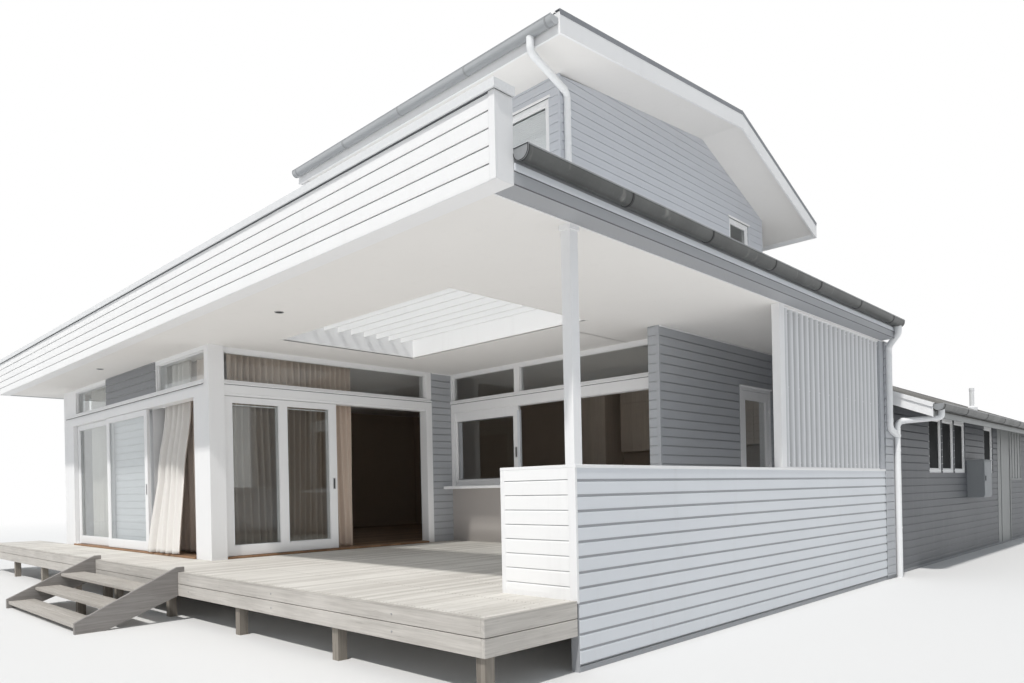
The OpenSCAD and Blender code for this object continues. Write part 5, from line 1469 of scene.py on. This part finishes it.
def windowPieces():
    s = windowSpec
    sills, headBoards, screens, slats, sashes = [], [], [], [], bmesh.new()
    # a frame faces away from the middle of its storey, by axis: upper storey, then ground floor and wing
    middles = (((upLeft.x0 + upRight.x1) / 2, 6.0), (-3.2, 9.0))
    for ring in windowRings:
        axis, upper, low = ring.thinAxis(), ring.z0 > 4, ring.z0 < 2.0
        outward = 1 if sum(ring.span(axis)) / 2 > middles[0 if upper else 1][axis] else -1
        face = ring.high[axis] if outward > 0 else ring.low[axis]
        slim = axis == 0 and outward > 0 and low

        def layer(start, end, past, z0, z1):
            # a slab between two distances out from the wall's face, wider than the frame by past
            a, b = ring.span(1 - axis)
            return solidBar(axis, sorted((face + outward * start, face + outward * end)),
                            (a - past, b + past), (z0, z1))

        past = 0.0 if slim else s["past"]
        sills.append(layer(-0.02, s["slimOut"] if slim else s["sillOut"], past, ring.z0 - s["sill"],
                           ring.z0))
        headBoards.append(layer(-0.02, s["slimOut"] if slim else s["headOut"], past, ring.z1,
                                ring.z1 + s["head"]))
        sash = Box(*layer(-0.012, -0.032, -s["frame"], ring.z0 + s["frame"], ring.z1 - s["frame"]))
        addRing(sashes, axis, sash.span(axis), sash.span(1 - axis), sash.span(2), 0.022)
        if low:
            screens.append(layer(-0.024, -0.028, -s["frame"] - 0.01, sash.z0 + 0.01, sash.z1 - 0.01))
        if upper and ring.y1 < upRear.y0 and axis == 1:
            length = ring.x1 - ring.x0 - 2 * s["reveal"]
            slats.append(runTree(planks, {
                "Count": int((ring.z1 - ring.z0 - 0.13) / s["slat"]), "Pitch": s["slat"],
                "Width": s["slat"] - s["slatGap"], "Thick": s["slatThick"], "Round": 0.0012, "Start": 0.0,
                "Finish": length, "Joint": length, "Uneven": 0.0004,
                "Rotation": (-math.pi / 2, -math.pi / 2, 0.0),
                "Place": (ring.x0 + s["reveal"], ring.y0 + 0.062, ring.z0 + 0.065)}))
    blocks("windowSills", sills, "white", 0.004)
    blocks("windowHeads", headBoards, "white")
    blocks("flyScreens", screens, "flyMesh", 0.0)
    asObject("windowSashes", sashes, "white")
    clad("upperBlinds", slats, "blind")


windowPieces()


# roof sheets, ridge caps and metal edging

sheeting = {"pitch": 0.076, "depth": 0.016, "lift": 0.011, "past": 0.03, "joint": 0.03, "capLift": 0.026,
            "capWidth": 0.15, "capThick": 0.0015}
tilt = {"main": math.atan((topOf("main_roof").z - topOf("main_roof", lambda c: c.x > roofMain.x1 - 0.01).z)
                          / (roofMain.x1 - roofMain.x0))}
upperEaves = [topOf("upper_roof", lambda c: c.y < roofUp.y0 + 0.01).z,
              topOf("upper_roof", lambda c: c.y > roofUp.y1 - 0.01).z]
ridgeY, ridgeZ = ridgeTop.y, roofUp.z1
tilt["front"] = math.atan((ridgeZ - upperEaves[0]) / (ridgeY - roofUp.y0))
tilt["rear"] = math.atan((ridgeZ - upperEaves[1]) / (roofUp.y1 - ridgeY))
wingRidgeX = (roofWing.x0 + roofWing.x1) / 2
wingEaveZ = topOf("wing_roof", lambda c: c.x > roofWing.x1 - 0.01).z
tilt["wing"] = math.atan((roofWing.z1 - wingEaveZ) / (roofWing.x1 - wingRidgeX))


def roofField(slope, run, width, turn, place, **more):
    # sheets that fall down one slope from a place on their top edge
    return runTree(wavedSheet, {"Run": run / math.cos(tilt[slope]), "Width": width,
                                "Pitch": sheeting["pitch"], "Depth": sheeting["depth"], "Steps": 6,
                                "Rotation": (0.0, tilt[slope], turn), "Place": place, **more})


def roofSheets():
    s = sheeting
    past, joint, lift = s["past"], s["joint"], s["lift"]
    mainTop = topOf("main_roof").z + lift

    def strip(x0, x1, y0, y1):
        return roofField("main", x1 - x0, y1 - y0, 0.0,
                         (x0, y0, mainTop - (x0 - roofMain.x0) * math.tan(tilt["main"])),
                         Phase=(y0 / s["pitch"]) % 1.0)

    left, right, behind = roofMain.x0, roofMain.x1 + past, upRight.x1 + joint
    wellX, wellY = (wellBox.x0 - joint, wellBox.x1 + joint), (wellBox.y0 - joint, wellBox.y1 + joint)
    upY = upFront.y0 - joint
    parts = [strip(left, right, 0.12, wellY[0]), strip(left, wellX[0], *wellY),
             strip(wellX[1], right, *wellY),
             strip(left, right, wellY[1], upY), strip(left, upLeft.x0 - joint, upY, roofMain.y1),
             strip(behind, right, upY, eave.y1), strip(behind, edgeX, eave.y1, wingRight.y0),
             strip(behind, greyBack.x1, wingRight.y0, roofMain.y1)]
    clad("mainRoofSheets", parts, "roof", smooth=60)
    parts = []
    for slope, run, turn, x in (("front", ridgeY - roofUp.y0, -math.pi / 2, roofUp.x0),
                                ("rear", roofUp.y1 - ridgeY, math.pi / 2, roofUp.x1)):
        parts.append(roofField(slope, run + past * math.cos(tilt[slope]), roofUp.x1 - roofUp.x0, turn,
                               (x, ridgeY, ridgeZ + lift)))
    clad("upperRoofSheets", parts, "roof", smooth=60)
    fall, top = tilt["wing"], roofWing.z1 + lift
    y0, y1, y2 = wingRight.y0, roofMain.y1, roofWing.y1
    over = roofWing.x1 + past * math.cos(fall)
    startX = greyBack.x1
    parts = [roofField("wing", over - wingRidgeX, y2 - y1, 0.0, (wingRidgeX, y1, top)),
             roofField("wing", over - wingRidgeX, y2 - y1, math.pi, (wingRidgeX, y2, top)),
             roofField("wing", over - startX, y1 - y0, 0.0,
                       (startX, y0, top - (startX - wingRidgeX) * math.tan(fall)))]
    clad("wingRoofSheets", parts, "wingRoof", smooth=60)


def ridgeCap(name, ends, rightTilt, leftTilt, mat):
    # a rolled cap whose wings lie on the two slopes
    w, t = sheeting["capWidth"], sheeting["capThick"]
    right, left = (-w * math.tan(tilt[slope]) for slope in (rightTilt, leftTilt))
    cap = bmesh.new()
    sweep(cap, ends, [(w, right), (0.028, 0.0), (0.02, 0.012), (0.0, 0.02), (-0.02, 0.012), (-0.028, 0.0),
                      (-w, left), (-w, left - t), (0.0, -0.004), (w, right - t)])
    asObject(name, cap, mat)


def roofEdges():
    z = ridgeZ + sheeting["capLift"]
    ridgeCap("ridgeCaps", [(roofUp.x0 - 0.02, ridgeY, z), (roofUp.x1 + 0.02, ridgeY, z)], "front", "rear",
             "roof")
    z = roofWing.z1 + sheeting["capLift"]
    ridgeCap("wingRidgeCap", [(wingRidgeX, roofMain.y1 - 0.02, z), (wingRidgeX, roofWing.y1 + 0.02, z)],
             "wing", "wing", "wingRoof")
    edging = bmesh.new()
    fold = [(-0.05, 0.024), (0.020, 0.024), (0.020, -0.034), (0.026, -0.034), (0.026, 0.030), (-0.05, 0.030)]
    upper = [(roofUp.y0 - 0.03, upperEaves[0]), (ridgeY, ridgeZ), (roofUp.y1 + 0.03, upperEaves[1])]
    far = roofWing.y1 + 0.004
    for line, side in (([(roofUp.x1 + 0.004, y, z) for y, z in upper], 1),
                       ([(roofUp.x0 - 0.004, y, z) for y, z in upper], -1),
                       ([(wingRidgeX, far, roofWing.z1), (roofWing.x1, far, wingEaveZ)], -1),
                       ([(wingRidgeX, far, roofWing.z1), (roofWing.x0, far, wingEaveZ)], 1)):
        sweep(edging, line, [(out * side, rise) for out, rise in fold])
    asObject("bargeEdging", edging, "edging")
    band = bmesh.new()
    low, high = solidBoxes("wing_barge_boards")[0]
    start, end, y, top = low.x - 0.02, high.x + 0.016, low.y - 0.002, high.z + 0.008
    sweep(band, [(start, y, top), (end, y, top - (end - start) * math.tan(tilt["wing"]))],
          [(-0.03, 0.0), (0.012, 0.0), (0.012, -0.05), (0.018, -0.05), (0.018, 0.012), (-0.03, 0.012)])
    asObject("wingFrontEdging", band, "white", slotName="roof_metal")


roofSheets()
roofEdges()
print("roofs made")


# gutters: straps, rolled rims and stop ends

gutterSpec = {"radius": 0.066, "rise": 0.025, "rim": 0.006, "strap": 0.022, "strapOut": 0.0025,
              "stopOut": 0.003, "stopThick": 0.004, "strapStep": 1.25,
              "sideStraps": (0.10, 1.31, 2.56, 3.84, 5.01, 6.28, 7.52)}


def gutterPieces():
    s = gutterSpec
    r, half = s["radius"] + s["strapOut"], s["strap"] / 2
    straps, rims = bmesh.new(), bmesh.new()
    for gutter in solidBoxes("gutters"):
        cross = gutter.thinAxis()
        along = 1 - cross
        start, end = gutter.span(along)
        centre, centreZ = sum(gutter.span(cross)) / 2, gutter.z0 + s["radius"]
        rimZ = centreZ + s["rise"]
        stations = s["sideStraps"]
        if not 3 < gutter.z0 < 4:
            count = int((end - start) / s["strapStep"])
            step = (end - start - 0.2) / count
            stations = [start + 0.1 + i * step for i in range(count + 1)]

        def point(c, a, z):
            return (c, a, z) if along == 1 else (a, c, z)

        def halfRound(radius, steps):
            angles = [math.pi + math.pi * k / steps for k in range(steps + 1)]
            return [(centre + radius * math.cos(a), centreZ + radius * math.sin(a)) for a in angles]

        for at in stations:
            line = [(centre - r, rimZ), *halfRound(r, 12), (centre + r, rimZ)]
            sweep(straps, [point(c, at, z) for c, z in line],
                  [(-0.0018, -half), (0.0018, -half), (0.0018, half), (-0.0018, half)],
                  (1 - along, along, 0))
            addBlock(straps, point(centre - r, at - half, rimZ - 0.001),
                     point(centre + r, at + half, rimZ + 0.003), 0.0006)
        edge = centre + (1 if cross == 0 else -1) * (s["radius"] + 0.001)
        addTube(rims, [point(edge, start, rimZ), point(edge, end, rimZ)], s["rim"], 10)
        # stop ends: half round plates a little larger than the gutter
        big = r + s["stopOut"]
        plate = [*halfRound(big, 16), (centre + big, rimZ), (centre - big, rimZ)]
        for at in (start - 0.0015, end - 0.0025):
            joinRings(rims, [[rims.verts.new(point(c, at + shift, z)) for c, z in plate]
                             for shift in (0.0, s["stopThick"])])
    asObject("gutterStraps", straps, "strap")
    asObject("gutterRims", rims, "gutterRim", smooth=40)


gutterPieces()

# round downpipes with swept bends, sleeves and clips

pipes = {"radius": 0.045, "bend": 0.11, "sleeve": 0.0035, "clip": 0.0025, "clipWidth": 0.022,
         "offWall": 0.0483, "sideX": 0.346, "groundX": 0.706}


def downPipes():
    s = pipes
    r, half = s["radius"], s["clipWidth"] / 2
    pipeX, sideY, groundY = edgeX + s["offWall"], wingRight.y0 - 0.25, wingRight.y0 + 0.07
    upperX, upperY = roofUp.x1 - 0.38, roofUp.y0 - 0.028 - gutterSpec["radius"]
    wallX, wallY = upRight.x1 + s["offWall"], upFront.y0 + 0.10
    gutterTop, topY, lowY = box("gutters").z1 - 0.091, eave.y1 - 0.06, wingRight.y0 + 0.15
    lines = {
        "side": [(s["sideX"], topY, 3.65), (s["sideX"], topY, 3.55), (pipeX, sideY, 3.42),
                 (pipeX, sideY, 2.22), (pipeX, groundY, 2.13)],
        "ground": [(s["groundX"], lowY, 2.47), (s["groundX"], lowY, 2.36), (pipeX, groundY, 2.34),
                   (pipeX, groundY, 0.0)],
        "upper": [(upperX, upperY, gutterTop + 0.01), (upperX, upperY, gutterTop - 0.16),
                  (wallX, wallY, roofUp.z0 + 0.53), (wallX, wallY, roofMain.z0 + 0.29)],
    }
    work = bmesh.new()
    for line in lines.values():
        addTube(work, rounded(line, s["bend"], 7), r, 24)
    asObject("downPipes", work, "pipe", replaces=["downpipes"], smooth=40)
    trim = bmesh.new()
    # sleeves: pipe, its leg, the share of the leg and their length
    for name, leg, share, length in (("side", 2, 0.12, 0.05), ("side", 2, 0.90, 0.05),
                                     ("side", 3, 0.99, 0.06), ("ground", 1, 0.16, 0.05),
                                     ("ground", 1, 0.86, 0.05), ("ground", 2, 0.06, 0.09),
                                     ("upper", 1, 0.10, 0.05), ("upper", 1, 0.90, 0.05),
                                     ("upper", 2, 0.10, 0.05)):
        a, b = (Vector(point) for point in lines[name][leg:leg + 2])
        reach = (b - a).normalized() * length / 2
        middle = a + (b - a) * share
        addTube(trim, [middle - reach, middle + reach], r + s["sleeve"], 24)
    # clips to the wall
    for x, y, z in ((pipeX, sideY, 2.62), (pipeX, groundY, 1.90), (pipeX, groundY, 0.75),
                    (wallX, wallY, 5.9), (wallX, wallY, 4.7)):
        addTube(trim, [(x, y, z - half), (x, y, z + half)], r + s["clip"], 24)
        addBlock(trim, (x - r - 0.004, y - 0.075, z - half), (x - r + 0.001, y + 0.075, z + half), 0.001)
    asObject("pipeSleeves", trim, "pipe", smooth=40)


downPipes()

# fittings of the wing: eave strip, meter door and hood, vent

wingFit = {"door": 0.012, "hood": 0.02, "stripZ": (2.372, 2.4395, 2.456), "latchZ": (1.42, 1.52),
           "vent": (-0.6, 16.35), "ventFoot": 2.56, "ventRise": 0.50, "ventRadius": 0.048}


def wingFittings():
    s = wingFit
    eaveX, near, far = roofWing.x1, wingRight.y0 + 0.001, roofWing.y1
    z0, z1, z2 = s["stripZ"]
    strip = [((eaveX - 0.022, near, z0), (eaveX + 0.004, far, z1)),
             ((eaveX, near, z1), (eaveX + 0.004, far, z2))]
    blocks("wingEaveStrip", strip, "wingPale")
    low, high = box("meter_box")
    face = high.x + s["door"]
    door = [((high.x, low.y + 0.012, low.z + 0.03), (face, high.y - 0.012, high.z - 0.03))]
    blocks("meterDoor", door, "meter")
    hood = [((low.x + 0.01, low.y - 0.012, high.z - 0.006),
             (high.x + s["hood"] + 0.012, high.y + 0.012, high.z + 0.010))]
    blocks("meterHood", hood, "meter")
    latch = [((face, low.y + 0.06, s["latchZ"][0]), (face + 0.012, low.y + 0.085, s["latchZ"][1]))]
    blocks("meterLatch", latch, "black", slotName="box_metal")
    (x, y), r = s["vent"], s["ventRadius"]
    base = s["ventFoot"] + (eaveX - x) * math.tan(wingTilt)
    top = base + s["ventRise"]
    vent = bmesh.new()
    addTube(vent, [(x, y, base - 0.03), (x, y, top)], r, 24)
    addTube(vent, [(x, y, top - 0.06), (x, y, top + 0.004)], r + 0.006, 24)
    addDisc(vent, (x, y), (r + 0.001, r + 0.04, 0.11, 0.11, r + 0.001),
            (base + 0.09, base + 0.055, base + 0.05, base - 0.03, base - 0.03), 28)
    asObject("roofVent", vent, "pipe", smooth=40)


wingFittings()
print("gutters, pipes and wing fittings made")


# curtains: each row of a pleated cloth keeps the width it was cut to

clothThick = 0.0016
curtains = {
    "doorwayLinen": {"cut": 1.72, "pleats": 6, "top": 3.486, "foot": 0.606, "seed": 4, "mat": "linen",
                     "rows": ((0.0, (-8.26, 1.098), (-7.46, 1.098)), (0.22, (-8.27, 1.095), (-7.48, 1.095)),
                              (0.62, (-8.38, 0.985), (-7.50, 0.985)), (0.84, (-8.40, 0.865), (-7.32, 0.865)),
                              (1.0, (-8.40, 0.790), (-7.20, 0.790)))},
    # its warmer cloth tone is painted warm backlight
    "cornerLinen": {"cut": 2.0, "pleats": 8, "top": 3.486, "foot": 0.585, "seed": 6, "mat": "cornerDrape",
                    "rows": ((0.0, (-8.26, 1.235), (-6.69, 1.235)), (1.0, (-8.24, 1.245), (-6.69, 1.245)))},
    "frontRoomLinen": {"cut": 2.85, "pleats": 15, "top": 3.486, "foot": 0.585, "seed": 9, "mat": "pleats",
                       "rows": ((0.0, (-11.78, 1.066), (-10.42, 1.066)),
                                (1.0, (-11.80, 1.066), (-10.38, 1.066)))},
    # its darker, warmer cloth tone is painted shade
    "sideRoomLinen": {"cut": 4.10, "pleats": 21, "top": 3.486, "foot": 0.585, "seed": 15, "mat": "drape",
                      "rows": ((0.0, (-6.466, 1.22), (-6.466, 3.25)),
                               (1.0, (-6.466, 1.20), (-6.466, 3.27)))},
}


def rowAt(rows, share):
    # left and right ends of the cloth at a share of its drop, eased between the rows given
    for (s0, a0, b0), (s1, a1, b1) in zip(rows, rows[1:]):
        if share <= s1:
            k = (share - s0) / (s1 - s0)
            k = k * k * (3 - 2 * k) if s0 < 0.3 else k
            return Vector(a0).lerp(Vector(a1), k), Vector(b0).lerp(Vector(b1), k)
    return Vector(rows[-1][1]), Vector(rows[-1][2])


def pleatedRow(spec, share, wobble):
    # points of one row; the fold depth is found by halving until the row is as long as the cut
    left, right = rowAt(spec["rows"], share)
    chord = right - left
    outward = Vector((chord.y, -chord.x)).normalized()
    columns = spec["pleats"] * 12

    def points(depth):
        out = []
        for i in range(columns + 1):
            s = i / columns
            drift = wobble[0] * math.sin(2 * math.pi * (1.3 * s + 0.5 * share) + wobble[1])
            swell = 1.0 + 0.28 * math.sin(2 * math.pi * (2.1 * s - 0.3 * share) + wobble[2])
            fold = math.sin(2 * math.pi * spec["pleats"] * (s + drift))
            slow = 2 * math.pi * (spec["pleats"] * 0.53) * s
            fold += 0.22 * share * math.sin(slow + wobble[3] + 2.0 * share)
            pinch = min(1.0, 8.0 * s, 8.0 * (1 - s)) * 0.4 + 0.6
            out.append(left + chord * s + outward * depth * fold * swell * pinch)
        return out

    low, high = 0.0, 0.2
    for _ in range(22):
        middle = (low + high) / 2
        line = points(middle)
        if sum((b - a).length for a, b in zip(line, line[1:])) < spec["cut"]:
            low = middle
        else:
            high = middle
    return points((low + high) / 2)


def hangCurtain(name, **more):
    spec = curtains[name]
    rand = random.Random(spec["seed"])
    wobble = [0.012, rand.uniform(0, 6), rand.uniform(0, 6), rand.uniform(0, 6)]
    levels = 56
    work = bmesh.new()
    uvLayer = work.loops.layers.uv.new("cloth")
    grid = []
    drop = spec["top"] - spec["foot"]
    for j in range(levels + 1):
        share = j / levels
        row = pleatedRow(spec, share, wobble)
        hem = [0.004 * math.sin(5.0 * i / len(row) + wobble[1]) * share for i in range(len(row))]
        z = spec["top"] - drop * share
        grid.append([work.verts.new((p.x, p.y, z - lift)) for p, lift in zip(row, hem)])
    for j in range(levels):
        for i in range(len(grid[0]) - 1):
            face = work.faces.new((grid[j][i], grid[j + 1][i], grid[j + 1][i + 1], grid[j][i + 1]))
            places = ((i, j), (i, j + 1), (i + 1, j + 1), (i + 1, j))
            for loop, (a, b) in zip(face.loops, places):
                loop[uvLayer].uv = (spec["cut"] * a / (len(grid[0]) - 1), drop * (1 - b / levels))
    mesh = bpy.data.meshes.new(name)
    work.to_mesh(mesh)
    work.free()
    host = intoScene("host", mesh)
    host.modifiers.new("thick", "SOLIDIFY").thickness = clothThick
    piece = asObject(name, plainMesh(host), spec["mat"], slotName="linen", smooth=180, **more)
    spec["cut"]
    drop + 0.03
    return piece


doorwayCloth = hangCurtain("doorwayLinen", replaces=["doorway_curtain"])
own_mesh(doorwayCloth)
hangCurtain("cornerLinen")
hangCurtain("frontRoomLinen", replaces=["room_curtains"])
hangCurtain("sideRoomLinen", replaces=["room_curtains"])
print("curtains hung")


# finishes of the nodes that stay as the frame made them

nodeFinish = {
    "white": "verandah_post living_corner_post front_left_leaf front_right_leaf side_slide_leaf "
             "kitchen_window_frames hinged_door_frame hinged_door_leaf front_fascia window_frames "
             "upper_barge_boards wing_barge_boards skylight_well skylight_slats",
    "frontFrame": "front_door_frame",
    "sideFrame": "side_door_frame",
    "rooms": "left_wall front_bay_wall living_end_wall grey_wall_front grey_wall_over_door grey_wall_back "
             "rear_wall",
    "dado": "kitchen_dado",
    "grey": "passage_end_wall upper_front_wall upper_right_gable upper_left_gable upper_rear_wall "
            "wing_right_wall wing_left_wall wing_end_wall upper_floor",
    "pale": "half_wall",
    "eave": "side_eave",
    "sheet": "corrugated_screen",
    "ceiling": "ceiling upper_roof",
    "deckBoards": "deck",
    "steps": "step_treads",
    "stringers": "step_stringers",
    "stumps": "deck_bearers stumps",
    "floor": "ground_floors",
    "cupboard": "kitchen_cupboards",
    "roof": "main_roof",
    "wingRoof": "wing_roof",
    "gutter": "gutters",
    "pipe": "downpipes",
    "meter": "meter_box",
    "linen": "doorway_curtain",
    "drape": "room_curtains",
    "glass": "front_left_glass front_right_glass side_slide_glass ground_floor_glass hinged_door_glass "
             "upper_glass",
}
for key, names in nodeFinish.items():
    for name in names.split():
        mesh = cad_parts[name].data
        mesh.materials.clear()
        mesh.materials.append(finish[key])
print("finishes set")


# stage, lamps and camera

stage = {"tone": 0.76, "size": 160.0, "middle": (-6.0, 6.0), "fadeFrom": 22.0, "fadeTo": 45.0}


def seenRays(t):
    # one where the camera, a reflection or a view through glass looks
    rays = t.tree.nodes.new("ShaderNodeLightPath")
    total = Sock(t.tree, rays.outputs["Is Camera Ray"])
    for key in ("Is Glossy Ray", "Is Transmission Ray"):
        total = total + Sock(t.tree, rays.outputs[key])
    return total.atMost(1.0)


def stageFloor():
    s = stage
    mesh = bpy.data.meshes.new("floor")
    size = s["size"]
    mesh.from_pydata([(-size, -size, 0), (size, -size, 0), (size, size, 0), (-size, size, 0)], [],
                     [(0, 1, 2, 3)])
    mat, t, surface = newMaterial("floorPaint")
    surface.inputs["Base Color"].default_value = (s["tone"], s["tone"], s["tone"], 1)
    surface.inputs["Roughness"].default_value = 0.9
    place, (x, y, z) = t.coords()
    across, along = x - s["middle"][0], y - s["middle"][1]
    far = (across * across + along * along).root()
    fade = far.ramp(s["fadeFrom"], s["fadeTo"]) * seenRays(t)
    white = t.node("ShaderNodeEmission", {"Color": (1, 1, 1, 1), "Strength": 1.0})
    showMix(t, mat.node_tree.nodes["Material Output"], fade, Sock(t.tree, surface.outputs[0]), white)
    mesh.materials.append(mat)
    intoScene("floor", mesh)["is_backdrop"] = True


stageFloor()

light = {"sun": 2.6, "sunAngle": 2.5, "from": (0.17, -0.636, 1.0), "sunTint": (1.0, 0.975, 0.94),
         "sky": 0.50, "skyTint": (0.88, 0.94, 1.0), "backdrop": 1.0}
sun = intoScene("sun", bpy.data.lights.new("sun", "SUN"))
sun.data.energy = light["sun"]
sun.data.angle = math.radians(light["sunAngle"])
sun.data.color = light["sunTint"]
sun.rotation_euler = Vector(light["from"]).to_track_quat("Z", "Y").to_euler()

# soft light off deck, roofs and stage: wide lamps that face up, each (x0, x1, y0, y1, z, watts per m2)
overDeck, overRoof = deckTop + 0.04, 4.12
bounces = ((-6.0, -0.2, -0.9, 1.4, overDeck, 0.6), (-6.0, -0.2, 1.4, 4.7, overDeck, 2.3),
           (-1.40, -0.15, 4.7, 7.7, overDeck, 2.9), (-12.3, -6.3, -1.1, 0.75, overDeck, 0.5),
           (-12.0, 0.1, 0.35, 3.6, overRoof, 3.0), (-2.1, 0.15, 3.8, 9.3, overRoof, 2.6),
           (0.9, 6.0, 1.0, 16.0, 0.03, 0.5))
for count, (x0, x1, y0, y1, z, each) in enumerate(bounces):
    lamp = intoScene("bounce" + str(count), bpy.data.lights.new("bounce" + str(count), "AREA"))
    lamp.data.shape = "RECTANGLE"
    lamp.data.size, lamp.data.size_y = x1 - x0, y1 - y0
    lamp.data.energy = each * (x1 - x0) * (y1 - y0)
    lamp.location = ((x0 + x1) / 2, (y0 + y1) / 2, z)
    lamp.rotation_euler = (math.pi, 0.0, 0.0)
    lamp.visible_camera = False
    lamp.visible_glossy = False

world = bpy.data.worlds.new("world")
bpy.context.scene.world = world
world.use_nodes = True
world.node_tree.nodes.clear()
sky = Tree(world.node_tree)
ambient = sky.node("ShaderNodeBackground", {"Color": (*light["skyTint"], 1), "Strength": light["sky"]})
backdrop = sky.node("ShaderNodeBackground", {"Color": (1, 1, 1, 1), "Strength": light["backdrop"]})
showMix(sky, world.node_tree.nodes.new("ShaderNodeOutputWorld"), seenRays(sky), ambient, backdrop)

view = {"yaw": 44.127, "roll": -1.193, "place": (3.733, -3.548, 1.430), "lens": 26.13, "shiftY": 0.1451}
yaw, roll = math.radians(view["yaw"]), math.radians(view["roll"])
right = Vector((math.cos(yaw), math.sin(yaw), 0.0))
up = Vector((0.0, 0.0, 1.0))
ahead = Vector((-math.sin(yaw), math.cos(yaw), 0.0))
across = math.cos(roll) * right + math.sin(roll) * up
above = math.cos(roll) * up - math.sin(roll) * right
camera = intoScene("camera", bpy.data.cameras.new("camera"))
turn = Matrix((across, above, -ahead)).transposed()
camera.matrix_world = Matrix.Translation(Vector(view["place"])) @ turn.to_4x4()
camera.data.sensor_width = 36.0
camera.data.lens = view["lens"]
camera.data.shift_y = view["shiftY"]
camera.data.clip_end = 400.0
bpy.context.scene.camera = camera
bpy.context.scene.view_settings.view_transform = "Standard"

plain = [[[float(v) for v in corner] for corner in b] for b in (cadBox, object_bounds())]
{"cad": plain[0], "visual": plain[1]}
print("scene ready")
